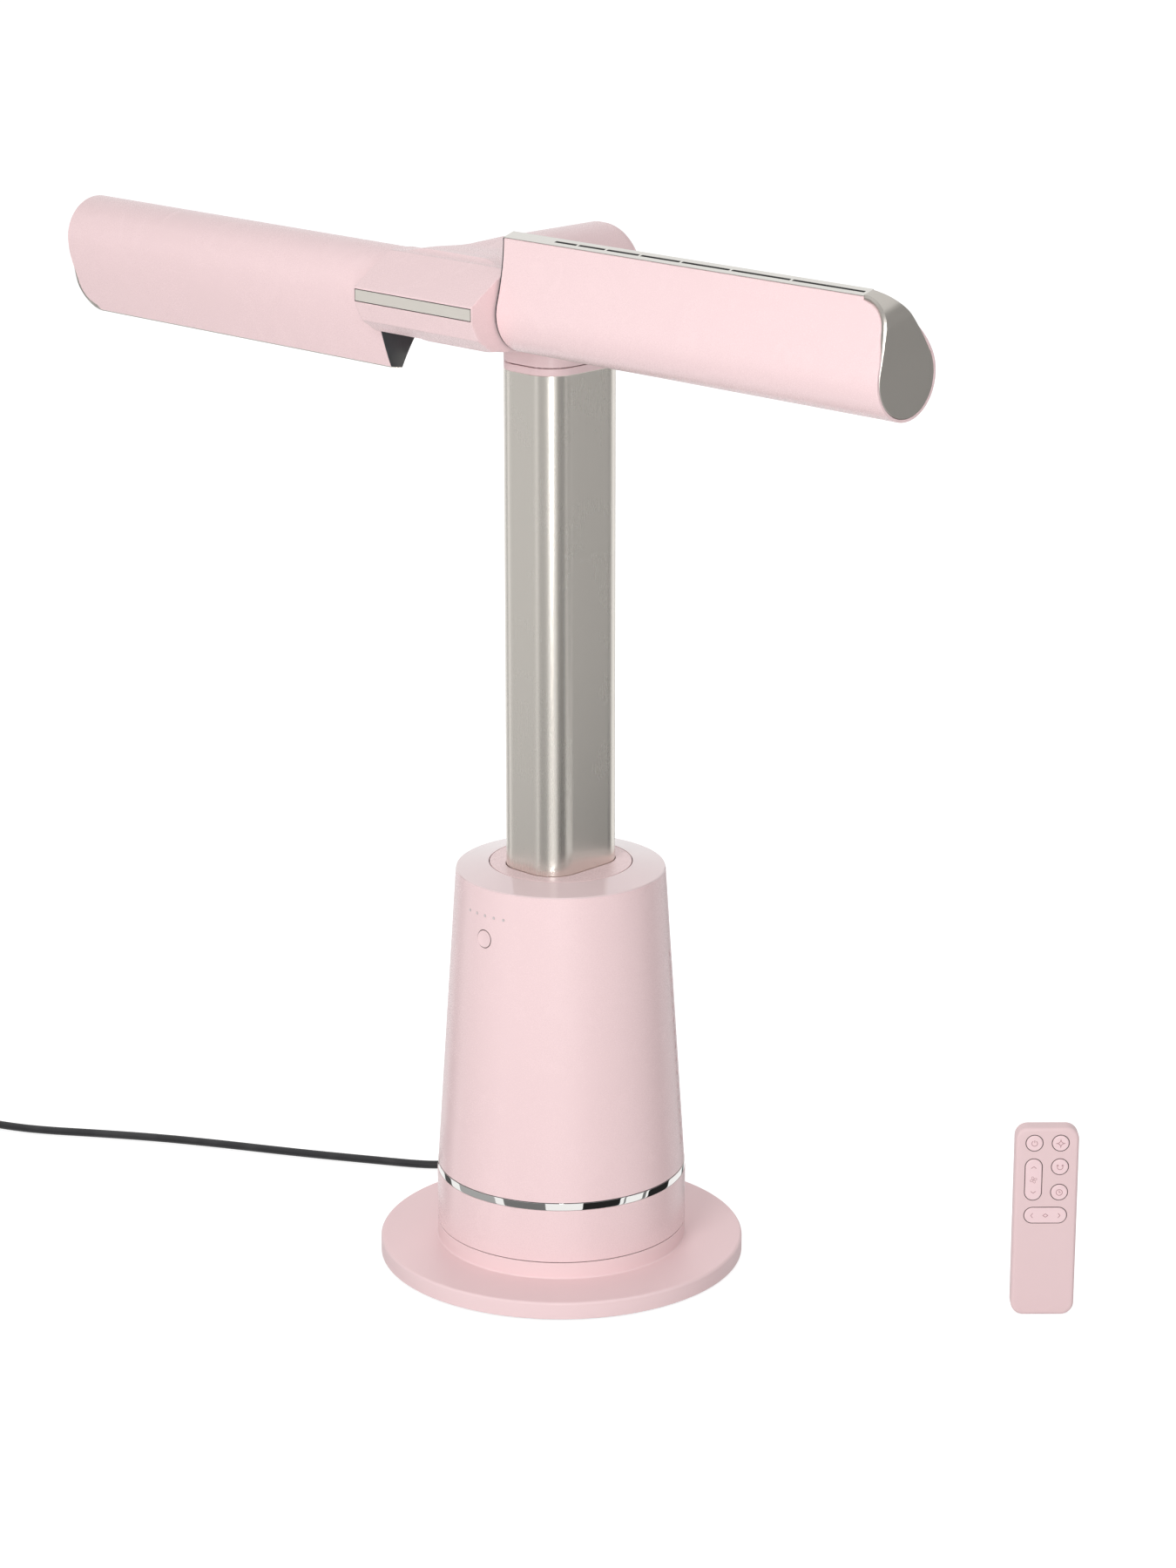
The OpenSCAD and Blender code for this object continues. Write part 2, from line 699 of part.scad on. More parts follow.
module swing_motor() {
    color("silver") translate([0, pinion_y, tower_z + floor_t]) difference() {
        union() {
            cylinder(r = swing_motor_r, h = swing_motor_h);
            translate([-swing_motor_r - 6, -4, 0]) cube([2 * swing_motor_r + 12, 8, 2]);
        }
        translate([0, 0, -1]) cylinder(r = pinion_shaft_r + run_fit, h = swing_motor_h - 2);
    }
}

module swing_pinion() {
    z0 = base_h + 0.5;
    color("ivory") translate([0, pinion_y, z0]) {
        linear_extrude(pinion_h) polygon(gear_outline(
            pinion_teeth, pinion_pitch_r - tooth_depth, pinion_pitch_r + tooth_reach,
            pinion_pitch_r));
        translate([0, 0, pinion_h - eps])
            cylinder(r = pinion_shaft_r, h = tower_z + floor_t + swing_motor_h - 5 - z0 - pinion_h);
    }
}

module inlet_ring() {
    leg = 10;
    color("ivory") {
        translate([0, 0, inlet_z]) rotate_extrude() polygon([
            [shroud_r, inlet_h], [shroud_r + shroud_wall, inlet_h], [shroud_r + inlet_flare, 2],
            [shroud_r + inlet_flare, 0], [shroud_r + inlet_flare - 3, 0], [shroud_r + 1, 3]]);
        for (a = [15, 135, 255])
            rotate(a) translate([shroud_r + 2, -leg / 2, tower_z + floor_t])
                cube([inlet_flare - 3, leg, inlet_z - tower_z - floor_t + 1]);
    }
}

module impeller() {
    blade_r = impeller_d / 2;
    color("white") translate([0, 0, impeller_z]) difference() {
        union() {
            cylinder(r1 = impeller_hub_r - 4, r2 = impeller_hub_r + 3, h = impeller_h - 4);
            for (i = [0 : impeller_blades - 1])
                rotate(i * 360 / impeller_blades) translate([0, 0, 2])
                    linear_extrude(impeller_h - 6) polygon([
                        polar(8, -6), polar(0.7 * blade_r, -14), polar(blade_r, -26),
                        polar(blade_r, -23), polar(0.7 * blade_r, -11), polar(8, 6)]);
        }
        translate([0, 0, -1]) cylinder(d = shaft_d + 2 * seat, h = impeller_h);
    }
    color("silver") translate([0, 0, impeller_z + 2]) cylinder(d = shaft_d, h = impeller_h + motor_h - 4);
    color("brown") translate([0, 0, impeller_z + 1]) ring(shaft_d / 2 + 1.5, shaft_d / 2 - eps, 6);
}

// Motor can, in the cup of the diffuser, with a bore for the shaft
module fan_motor() {
    color("silver") translate([0, 0, diffuser_z + 2]) difference() {
        cylinder(d = motor_d, h = motor_h);
        translate([0, 0, -1]) cylinder(d = shaft_d + 2 * run_fit, h = motor_h - 1);
    }
}

module diffuser() {
    cup_r = motor_d / 2 + seat + cup_wall;
    color("ivory") {
        translate([0, 0, impeller_z])
            ring(shroud_r + shroud_wall, shroud_r, impeller_h + diffuser_h);
        translate([0, 0, diffuser_z]) difference() {
            cylinder(r = cup_r, h = motor_h + 5);
            translate([0, 0, -1]) cylinder(d = motor_d + 2 * seat, h = motor_h + 3);
        }
        for (i = [0 : vane_count - 1])
            rotate(i * 360 / vane_count) translate([cup_r - 1, -vane_t / 2, diffuser_z + 2])
                cube([shroud_r - cup_r + 1.5, vane_t, diffuser_h - 8]);
    }
}

module air_duct() {
    duct_r = shroud_r + shroud_wall;
    color("whitesmoke") {
        difference() {
            hull() {
                translate([0, 0, duct_z]) cylinder(r = duct_r, h = 1, $fn = 40);
                translate([0, 0, sleeve_z - 1]) linear_extrude(1)
                    pole_outline(sleeve_gap + sleeve_wall, $fn = 32);
            }
            hull() {
                translate([0, 0, duct_z - 0.5]) cylinder(r = shroud_r - 0.5, h = 1, $fn = 40);
                translate([0, 0, sleeve_z - 0.5]) linear_extrude(1) pole_outline(-2, $fn = 32);
            }
        }
    }
    color("whitesmoke") translate([0, 0, sleeve_z]) linear_extrude(guide_z - sleeve_z) difference() {
        pole_outline(sleeve_gap + sleeve_wall);
        pole_outline(sleeve_gap);
    }
}

// ---------- mast ----------

module pole_tube() {
    color("tan") translate([0, 0, foot_z]) linear_extrude(pole_top - foot_z) difference() {
        pole_outline();
        pole_outline(-pole_wall);
    }
}

module pole_foot_bush() {
    color("white") translate([0, 0, foot_z]) linear_extrude(bush_h) difference() {
        pole_outline(bush_wall);
        pole_outline(seat / 2);
    }
}

module neck_collar() {
    color("pink") translate([0, 0, pole_top]) linear_extrude(neck_collar_h) difference() {
        pole_outline();
        pole_outline(-pole_wall - 2);
    }
    color("pink") translate([0, 0, pole_top - 10]) linear_extrude(10 + eps) difference() {
        pole_outline(-pole_wall - seat);
        pole_outline(-pole_wall - 2);
    }
}

// Cylinder along Y from y0 to y1 about the arm axis height
module along_y(r, y0, y1, fn = 64) {
    translate([0, y0, axis_z]) rotate([-90, 0, 0]) cylinder(r = r, h = y1 - y0, $fn = fn);
}

module neck_elbow() {
    front = -pivot_y + seam / 2;
    color("pink") difference() {
        union() {
            along_y(barrel_r, front, barrel_back - rear_cap_t);
            translate([0, 0, neck_z]) linear_extrude(neck_h) pole_outline();
        }
        along_y(barrel_r - barrel_wall, front - 1, barrel_back);
        translate([0, 0, neck_z - 1]) linear_extrude(neck_h + 1) pole_outline(-pole_wall - 1);
    }
    // short sleeve that locates the neck on the collar
    color("pink") difference() {
        union() {
            translate([0, 0, neck_z - neck_collar_h]) linear_extrude(neck_collar_h + 2)
                pole_outline(-pole_wall - 2 - seat);
            translate([0, 0, neck_z]) linear_extrude(2) pole_outline(-pole_wall);
        }
        translate([0, 0, neck_z - neck_collar_h - 1]) linear_extrude(neck_collar_h + 4)
            pole_outline(-pole_wall - 4);
    }
}

module rear_cap() {
    color("pink") {
        along_y(barrel_r - 0.8, barrel_back - rear_cap_t + 0.3, barrel_back);
        along_y(barrel_r - barrel_wall - seat, barrel_back - rear_cap_t - 4, barrel_back - 1);
    }
}

module pivot_sleeve() {
    front = -pivot_y + seam / 2;
    color("silver") difference() {
        union() {
            along_y(barrel_r - barrel_wall - seat, front, front + 6);
            along_y(sleeve_r, -pivot_y - pivot_reach, front + 1);
        }
        along_y(sleeve_bore, -pivot_y - pivot_reach - 1, front + 7);
    }
}

// ---------- head ----------

// Side outline of the hub and its nose, in Y and height about the arm axis, inset by t
function hub_outline(t) = concat(
    [[-nose_reach + t, nose_high - 0.3 * t], [-nose_reach + t, -nose_low + 0.3 * t],
     [-nose_reach + 7 + t * 0.8, -17 + t * 0.6], [-nose_reach + 20 + t * 0.6, -26 + t * 0.9]],
    [for (a = [-104 : 12 : 88]) polar(pipe_r - t, a)],
    [[-(brow_y - arm_y) + t * 0.3, pipe_r - t]]);

module hub_body(half, t, fn) {
    translate([0, -arm_y, axis_z]) along_x(-half, half) polygon(hub_outline(t));
}

module hub_neck(t, y_back) {
    hull() {
        along_y(barrel_r - t, y_back - 3, y_back, 40);
        translate([-core_half + t, -arm_y, axis_z]) rotate([0, 90, 0])
            cylinder(r = pipe_r - t, h = 2 * (core_half - t), $fn = 40);
    }
}

module hub_shell() {
    back = -pivot_y - seam / 2;
    bush_r = spigot_r + run_fit + arm_bush_t;
    color("pink") difference() {
        union() {
            hub_body(hub_side, 0);
            hub_neck(0, back);
        }
        hub_body(core_half, hub_wall);
        hub_neck(hub_wall, back - hub_back_t);
        along_y(sleeve_r + run_fit, back - hub_back_t - 4, back + 1);
        translate([-hub_side - 1, -arm_y, axis_z]) rotate([0, 90, 0])
            cylinder(r = bush_r + seat / 2, h = 2 * hub_side + 2);
        // recess of the display strip
        translate([-display_w / 2 - seat, -nose_y - 1, axis_z + display_mid - display_h / 2 - seat])
            cube([display_w + 2 * seat, 1 + display_t + seat, display_h + 2 * seat]);
        // pocket of the display board
        translate([-40, -nose_y, axis_z + display_mid - 3]) cube([80, hub_wall + 6, 6]);
    }
}

display_mid = (nose_high - nose_low) / 2;

module display_window() {
    color("gainsboro") translate([-display_w / 2, -nose_y, axis_z + display_mid - display_h / 2])
        cube([display_w, display_t, display_h]);
}

module display_board() {
    color("darkgreen") translate([-38, -nose_y + display_t + seat, axis_z + display_mid - 2.6])
        cube([76, 4, 5.2]);
}

module arm_bushes() {
    color("white") for (s = [-1, 1])
        translate([s * (hub_side - 0.5 - arm_bush_l / 2), -arm_y, axis_z]) rotate([0, 90, 0])
            translate([0, 0, -arm_bush_l / 2])
                ring(spigot_r + run_fit + arm_bush_t, spigot_r + run_fit, arm_bush_l);
}

// ---------- arms ----------

module arm_shell() {
    color("pink") difference() {
        along_x(arm_start + root_t, arm_end - 0.4) polygon(arm_outline(0));
        along_x(arm_start, arm_end) polygon(arm_outline(arm_wall));
        // open top between the walls
        translate([arm_start, -tip_w / 2 + arm_wall, shoulder - 14])
            cube([arm_end, tip_w - 2 * arm_wall, 20]);
        beyond_end();
    }
}

function slot_len(i) = slot_first * pow(slot_growth, i);
function slot_at(i) = i == 0 ? slot_start : slot_at(i - 1) + slot_len(i - 1) + slot_rib;

module slot_strip() {
    web = tip_w - 2 * arm_wall - 2 * seat;
    low = shoulder - 8;
    color("silver") difference() {
        union() {
            along_x(arm_start + 0.4, arm_end - corner_r) polygon([
                [-tip_w / 2, shoulder], [tip_w / 2, shoulder], [tip_w / 2, tip_reach - 1.4],
                [tip_w / 2 - 1.4, tip_reach], [-tip_w / 2 + 1.4, tip_reach],
                [-tip_w / 2, tip_reach - 1.4]]);
            along_x(arm_start + root_t + seat, arm_end - corner_r) translate([-web / 2, low])
                square([web, shoulder - low + eps]);
        }
        for (i = [0 : slot_total - 1])
            translate([slot_at(i), -slot_w / 2, low - 1]) cube([slot_len(i), slot_w, tip_reach]);
    }
}

module end_cap() {
    color("rosybrown") intersection() {
        translate([0, tip_reach, 0]) rotate([90, 0, 0]) linear_extrude(2 * tip_reach) difference() {
            end_profile(0);
            end_profile(cap_t);
            translate([0, -tip_reach]) square([arm_end - corner_r + seat, 3 * tip_reach]);
        }
        union() {
            along_x(arm_end - corner_r - 1, arm_end + 1) polygon(arm_outline(arm_wall + seat));
            along_x(arm_end - corner_r - 1, arm_end + 1) translate([-tip_w / 2 + 0.4, shoulder + seat])
                square([tip_w - 0.8, strip_t + 1]);
            along_x(arm_end - corner_r - 1, arm_end + 1)
                translate([-tip_w / 2 + arm_wall + seat, shoulder - 2])
                    square([tip_w - 2 * arm_wall - 2 * seat, 4]);
        }
    }
}

module arm_root() {
    color("black") {
        difference() {
            along_x(arm_start, arm_start + root_t) polygon(arm_outline(0.3));
            translate([arm_start - 1, 0, 0]) rotate([0, 90, 0])
                cylinder(r = spigot_r - spigot_wall, h = 4);
        }
        translate([root_x - 14, 0, 0]) rotate([0, 90, 0])
            ring(spigot_r, spigot_r - spigot_wall, 14 + arm_seam / 2 + root_t);
    }
}

module right_arm_shell() { place_right() arm_shell(); }
module right_slot_strip() { place_right() slot_strip(); }
module right_end_cap() { place_right() end_cap(); }
module right_root() { place_right() arm_root(); }
module left_arm_shell() { place_left() arm_shell(); }
module left_slot_strip() { place_left() slot_strip(); }
module left_end_cap() { place_left() end_cap(); }
module left_root() { place_left() arm_root(); }

// ---------- remote control ----------

module place_remote() {
    translate([remote_pos[0], remote_pos[1], 0]) rotate(remote_turn) children();
}

// A slab seen from the front: outline in X and height, y0 to y1 in depth
module slab(w, h, r, y0, y1) {
    translate([0, y1, h / 2]) rotate([90, 0, 0]) linear_extrude(y1 - y0) rounded_rect(w, h, r);
}

// Places a front-view outline at x and height z on the remote's face, extruded outwards
module on_face(x, z, y0, y1) {
    translate([x, y1, z]) rotate([90, 0, 0]) linear_extrude(y1 - y0) children();
}

module pill(w, h) {
    r = min(w, h) / 2;
    for (s = [-1, 1]) translate([s * (w / 2 - r), s * (h / 2 - r)]) circle(r);
    square([max(w - 2 * r, min(w, h)), max(h - 2 * r, min(w, h))], center = true);
}

face_y = -remote_t / 2;

// Every key opening of the remote, grown by g
module key_outlines(g) {
    translate([-key_x, remote_h * key_rows[0]]) circle(key_d / 2 + g);
    for (k = key_rows) translate([key_x, remote_h * k]) circle(key_d / 2 + g);
    translate([-key_x, remote_h * speed_at]) pill(key_d + 2 * g, speed_l + 2 * g);
    translate([0, remote_h * twist_at]) pill(twist_l + 2 * g, key_d + 2 * g);
}

module remote_front() {
    color("pink") place_remote() difference() {
        slab(remote_w, remote_h, remote_corner, face_y, 0);
        translate([0, 0, remote_wall])
            slab(remote_w - 2 * remote_wall, remote_h - 2 * remote_wall, remote_corner - remote_wall,
                face_y + remote_wall, 1);
        on_face(0, 0, face_y - 1, face_y + remote_wall + 1) key_outlines(key_gap);
    }
}

module remote_back() {
    color("pink") place_remote() difference() {
        slab(remote_w, remote_h, remote_corner, 0, remote_t / 2);
        translate([0, 0, remote_wall])
            slab(remote_w - 2 * remote_wall, remote_h - 2 * remote_wall, remote_corner - remote_wall,
                -1, remote_t / 2 - remote_wall);
    }
}

board_y = face_y + remote_wall + 2.6 + key_travel;

module remote_board() {
    color("darkgreen") place_remote()
        translate([-remote_w / 2 + remote_wall + seat, board_y, remote_h * 0.3])
            cube([remote_w - 2 * remote_wall - 2 * seat, board_t, remote_h * 0.64]);
}

module remote_battery() {
    color("silver") place_remote()
        translate([0, board_y + board_t + seat, remote_h * 0.42]) rotate([-90, 0, 0])
            cylinder(d = 24.5, h = 3.2);
}

// A key: its head through the face, and a rim behind the face
module key(x, share) {
    color("pink") place_remote() {
        on_face(x, remote_h * share, face_y - key_proud, face_y + remote_wall + 1) children();
        on_face(x, remote_h * share, face_y + remote_wall + 1 - eps, board_y - key_travel - 0.3)
            square([6, 6], center = true);
    }
}

module power_key() { key(-key_x, key_rows[0]) circle(key_d / 2); }
module boost_key() { key(key_x, key_rows[0]) circle(key_d / 2); }
module swing_key() { key(key_x, key_rows[1]) circle(key_d / 2); }
module timer_key() { key(key_x, key_rows[2]) circle(key_d / 2); }
module speed_key() { key(-key_x, speed_at) pill(key_d, speed_l); }
module twist_key() { key(0, twist_at) pill(twist_l, key_d); }

base_cover();
base_bottom_plate();
base_weight();
rubber_feet();
base_screws();
turntable_bearing();
swing_ring_gear();
cord_strain_relief();
mains_lead();
lead_coil();
plug_body();
plug_pins();
lower_housing();
trim_ring();
body_shell();
intake_grille();
intake_filter();
top_cap();
pole_collar();
pole_bush();
power_button();
indicator_lenses();
control_board();
power_board();
swing_motor();
swing_pinion();
inlet_ring();
impeller();
fan_motor();
diffuser();
air_duct();
pole_tube();
pole_foot_bush();
neck_collar();
neck_elbow();
rear_cap();
pivot_sleeve();
hub_shell();
display_window();
display_board();
arm_bushes();
right_arm_shell();
right_slot_strip();
right_end_cap();
right_root();
left_arm_shell();
left_slot_strip();
left_end_cap();
left_root();
remote_front();
remote_back();
remote_board();
remote_battery();
power_key();
boost_key();
swing_key();
timer_key();
speed_key();
twist_key();
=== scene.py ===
import json
from math import atan, cos, degrees, hypot, pi, radians, sin, sqrt, tan

import bmesh
import bpy
import numpy as np
from mathutils import Matrix, Vector
from mathutils.geometry import delaunay_2d_cdt


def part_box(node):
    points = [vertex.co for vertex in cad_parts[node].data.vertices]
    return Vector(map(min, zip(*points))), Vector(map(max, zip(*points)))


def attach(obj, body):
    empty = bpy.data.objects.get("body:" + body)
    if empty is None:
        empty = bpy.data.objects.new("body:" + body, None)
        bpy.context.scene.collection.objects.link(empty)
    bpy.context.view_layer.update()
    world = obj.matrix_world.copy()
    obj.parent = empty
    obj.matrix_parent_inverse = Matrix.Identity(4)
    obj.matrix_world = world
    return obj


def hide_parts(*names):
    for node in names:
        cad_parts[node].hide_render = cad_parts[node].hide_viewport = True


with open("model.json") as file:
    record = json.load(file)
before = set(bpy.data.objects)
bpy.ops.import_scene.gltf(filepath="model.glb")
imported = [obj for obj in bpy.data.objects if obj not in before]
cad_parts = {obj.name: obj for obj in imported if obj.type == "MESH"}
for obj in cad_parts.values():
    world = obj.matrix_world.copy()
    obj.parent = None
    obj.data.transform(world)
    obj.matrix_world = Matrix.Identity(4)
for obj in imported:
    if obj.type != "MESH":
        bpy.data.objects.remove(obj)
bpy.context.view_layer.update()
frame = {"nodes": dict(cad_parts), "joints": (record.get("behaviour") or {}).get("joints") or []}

MM = 0.001


def span(node):
    """Lowest and highest corner of a CAD node in millimetres."""
    low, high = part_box(node)
    return low / MM, high / MM


# ---------------------------------------------------------------- camera

CAMERA_AZIMUTH, CAMERA_HEADING, CAMERA_PITCH = radians(44.5), radians(44.105), radians(16.9)
CAMERA_DISTANCE, CAMERA_HEIGHT = 2.984251, 1.283396

camera_data = bpy.data.cameras.new("camera")
camera_data.lens, camera_data.sensor_width, camera_data.sensor_fit = 95.2, 36.0, "AUTO"
camera = bpy.data.objects.new("camera", camera_data)
bpy.context.scene.collection.objects.link(camera)
camera.location = (CAMERA_DISTANCE * sin(CAMERA_AZIMUTH), -CAMERA_DISTANCE * cos(CAMERA_AZIMUTH),
                   CAMERA_HEIGHT)
camera.rotation_euler = (pi / 2 - CAMERA_PITCH, 0, CAMERA_HEADING)
bpy.context.scene.camera = camera

# ---------------------------------------------------------------- shared shading groups


class Nodes:
    """Short hand for laying out nodes in a material or a group."""

    def __init__(self, tree):
        self.tree, self.column = tree, 0

    def add(self, kind, inputs=None, **settings):
        node = self.tree.nodes.new(kind)
        self.column += 1
        node.location = (180 * self.column, 0)
        for name, value in settings.items():
            setattr(node, name, value)
        for name, value in (inputs or {}).items():
            socket = node.inputs[name]
            if isinstance(value, bpy.types.NodeSocket):
                self.tree.links.new(value, socket)
            else:
                socket.default_value = value
        return node

    def math(self, operation, a, b=0.0, clamp=False):
        return self.add("ShaderNodeMath", {0: a, 1: b}, operation=operation, use_clamp=clamp).outputs[0]

    def mix(self, factor, a, b, blend="MIX"):
        node = self.add("ShaderNodeMix", data_type="RGBA", blend_type=blend)
        for index, value in ((0, factor), (6, a), (7, b)):
            if isinstance(value, bpy.types.NodeSocket):
                self.tree.links.new(value, node.inputs[index])
            else:
                node.inputs[index].default_value = value
        return node.outputs[2]


def new_group(name, wanted, given):
    """A shader node group with named inputs (name, kind, default) and outputs (name, kind)."""
    tree = bpy.data.node_groups.new(name, "ShaderNodeTree")
    for label, kind, default in wanted:
        socket = tree.interface.new_socket(label, in_out="INPUT", socket_type=kind)
        socket.default_value = default
    for label, kind in given:
        tree.interface.new_socket(label, in_out="OUTPUT", socket_type=kind)
    nodes = Nodes(tree)
    return tree, nodes, nodes.add("NodeGroupInput").outputs, nodes.add("NodeGroupOutput")


FLOAT, COLOUR = "NodeSocketFloat", "NodeSocketColor"


def build_moulded_grain():
    """Fine spark-eroded grain of moulded plastic, with slow drifts in tone and gloss."""
    tree, n, inp, out = new_group(
        "moulded_grain",
        [("Colour", COLOUR, (0.8, 0.8, 0.8, 1)), ("Drift", FLOAT, 0.03), ("Roughness", FLOAT, 0.4),
         ("Gloss Drift", FLOAT, 0.06), ("Grain Scale", FLOAT, 2600.0)],
        [("Colour", COLOUR), ("Roughness", FLOAT), ("Height", FLOAT)])
    place = n.add("ShaderNodeTexCoord").outputs["Object"]
    slow = n.add("ShaderNodeTexNoise", {"Vector": place, "Scale": 9.0, "Detail": 3.0}).outputs["Fac"]
    fine = n.add("ShaderNodeTexNoise", {"Vector": place, "Scale": inp["Grain Scale"],
                                        "Detail": 2.0}).outputs["Fac"]
    pits = n.add("ShaderNodeTexVoronoi", {"Vector": place, "Scale": inp["Grain Scale"]}).outputs["Distance"]
    off = n.math("SUBTRACT", slow, 0.5)
    lift = n.math("ADD", n.math("MULTIPLY", off, inp["Drift"]), 1.0)
    grey = n.add("ShaderNodeCombineColor", {0: lift, 1: lift, 2: lift}).outputs[0]
    tree.links.new(n.mix(1.0, inp["Colour"], grey, "MULTIPLY"), out.inputs["Colour"])
    speck = n.math("MULTIPLY", n.math("SUBTRACT", fine, 0.5), 0.08)
    rough = n.math("ADD", n.math("MULTIPLY", off, inp["Gloss Drift"]), inp["Roughness"])
    tree.links.new(n.math("ADD", rough, speck, True), out.inputs["Roughness"])
    tree.links.new(n.math("ADD", fine, n.math("MULTIPLY", pits, 0.6)), out.inputs["Height"])
    return tree


def build_drawn_lines():
    """Long fine lines of a brushed or drawn metal; a small Scale on one axis draws the lines out along it."""
    tree, n, inp, out = new_group(
        "drawn_lines",
        [("Colour", COLOUR, (0.6, 0.6, 0.6, 1)), ("Contrast", FLOAT, 0.1), ("Roughness", FLOAT, 0.3),
         ("Scale X", FLOAT, 1500.0), ("Scale Y", FLOAT, 1500.0), ("Scale Z", FLOAT, 8.0)],
        [("Colour", COLOUR), ("Roughness", FLOAT), ("Height", FLOAT)])
    place = n.add("ShaderNodeTexCoord").outputs["Object"]
    stretch = n.add("ShaderNodeCombineXYZ", {0: inp["Scale X"], 1: inp["Scale Y"],
                                             2: inp["Scale Z"]}).outputs[0]
    spread = n.add("ShaderNodeVectorMath", {0: place, 1: stretch}, operation="MULTIPLY").outputs[0]
    lines = n.add("ShaderNodeTexNoise", {"Vector": spread, "Scale": 1.0, "Detail": 4.0,
                                         "Roughness": 0.7}).outputs["Fac"]
    cloud = n.add("ShaderNodeTexNoise", {"Vector": place, "Scale": 14.0, "Detail": 2.0}).outputs["Fac"]
    off = n.math("SUBTRACT", lines, 0.5)
    lift = n.math("ADD", n.math("MULTIPLY", off, inp["Contrast"]), 1.0)
    grey = n.add("ShaderNodeCombineColor", {0: lift, 1: lift, 2: lift}).outputs[0]
    tree.links.new(n.mix(1.0, inp["Colour"], grey, "MULTIPLY"), out.inputs["Colour"])
    patch = n.math("MULTIPLY", n.math("SUBTRACT", cloud, 0.5), 0.05)
    rough = n.math("ADD", n.math("MULTIPLY", off, n.math("MULTIPLY", inp["Contrast"], 0.6)), inp["Roughness"])
    tree.links.new(n.math("ADD", rough, patch, True), out.inputs["Roughness"])
    tree.links.new(lines, out.inputs["Height"])
    return tree


def build_handling_dust():
    """Faint dust and fingertip smears: a mask from 0 to 1, heavier on faces that look up."""
    tree, n, inp, out = new_group(
        "handling_dust",
        [("Amount", FLOAT, 0.3), ("Scale", FLOAT, 28.0)],
        [("Mask", FLOAT)])
    place = n.add("ShaderNodeTexCoord").outputs["Object"]
    smear = n.add("ShaderNodeTexNoise", {"Vector": place, "Scale": inp["Scale"], "Detail": 5.0,
                                         "Distortion": 0.8})
    soft = n.add("ShaderNodeMapRange", {"Value": smear.outputs["Fac"], "From Min": 0.52,
                                        "From Max": 0.8}).outputs[0]
    facing = n.add("ShaderNodeSeparateXYZ", {0: n.add("ShaderNodeNewGeometry").outputs["Normal"]}).outputs[2]
    up = n.add("ShaderNodeMapRange", {"Value": facing, "From Min": -0.4, "From Max": 1.0,
                                      "To Min": 0.3}).outputs[0]
    tree.links.new(n.math("MULTIPLY", n.math("MULTIPLY", soft, up), inp["Amount"], True), out.inputs["Mask"])
    return tree


GRAIN, LINES, DUST = build_moulded_grain(), build_drawn_lines(), build_handling_dust()


def new_material(name, metallic=0.0, ior=1.46, coat=0.0, coat_rough=0.08, anisotropic=0.0, sheen=0.0):
    material = bpy.data.materials.new(name)
    material.use_nodes = True
    nodes = Nodes(material.node_tree)
    shader = material.node_tree.nodes["Principled BSDF"]
    shader.inputs["Metallic"].default_value = metallic
    shader.inputs["IOR"].default_value = ior
    shader.inputs["Coat Weight"].default_value = coat
    shader.inputs["Coat Roughness"].default_value = coat_rough
    shader.inputs["Anisotropic"].default_value = anisotropic
    shader.inputs["Sheen Weight"].default_value = sheen
    return material, nodes, shader


def wire(material, shader, colour, roughness, height, depth, fade=1.0):
    links, nodes = material.node_tree.links, Nodes(material.node_tree)
    links.new(colour, shader.inputs["Base Color"])
    links.new(roughness, shader.inputs["Roughness"])
    bump = nodes.add("ShaderNodeBump", {"Height": height, "Strength": fade, "Distance": depth})
    links.new(bump.outputs[0], shader.inputs["Normal"])


def moulded(name, colour, roughness, drift=0.03, gloss_drift=0.06, grain=2600.0, depth=0.00001, dust=0.25,
            **shader_values):
    """Moulded plastic or rubber: grain, slow drifts of tone and gloss, and a breath of dust."""
    material, n, shader = new_material(name, **shader_values)
    body = n.add("ShaderNodeGroup", node_tree=GRAIN)
    for label, value in (("Colour", (*colour, 1)), ("Drift", drift), ("Roughness", roughness),
                         ("Gloss Drift", gloss_drift), ("Grain Scale", grain)):
        body.inputs[label].default_value = value
    veil = n.add("ShaderNodeGroup", node_tree=DUST)
    veil.inputs["Amount"].default_value = dust
    pale = tuple(min(1.0, 0.25 + 0.72 * c) for c in colour)
    tone = n.mix(n.math("MULTIPLY", veil.outputs[0], 0.25), body.outputs[0], (*pale, 1))
    rough = n.math("ADD", body.outputs[1], n.math("MULTIPLY", veil.outputs[0], 0.12), True)
    wire(material, shader, tone, rough, body.outputs[2], depth, 0.6)
    return material


def drawn(name, colour, roughness, contrast=0.12, scale=(1500.0, 1500.0, 8.0), depth=0.000004,
          **shader_values):
    """Metal with a drawn or brushed grain along one axis."""
    material, n, shader = new_material(name, **{"metallic": 1.0, **shader_values})
    lines = n.add("ShaderNodeGroup", node_tree=LINES)
    for label, value in (("Colour", (*colour, 1)), ("Contrast", contrast), ("Roughness", roughness),
                         ("Scale X", scale[0]), ("Scale Y", scale[1]), ("Scale Z", scale[2])):
        lines.inputs[label].default_value = value
    veil = n.add("ShaderNodeGroup", node_tree=DUST)
    veil.inputs["Amount"].default_value = 0.25
    rough = n.math("ADD", lines.outputs[1], n.math("MULTIPLY", veil.outputs[0], 0.1), True)
    wire(material, shader, lines.outputs[0], rough, lines.outputs[2], depth, 0.5)
    return material


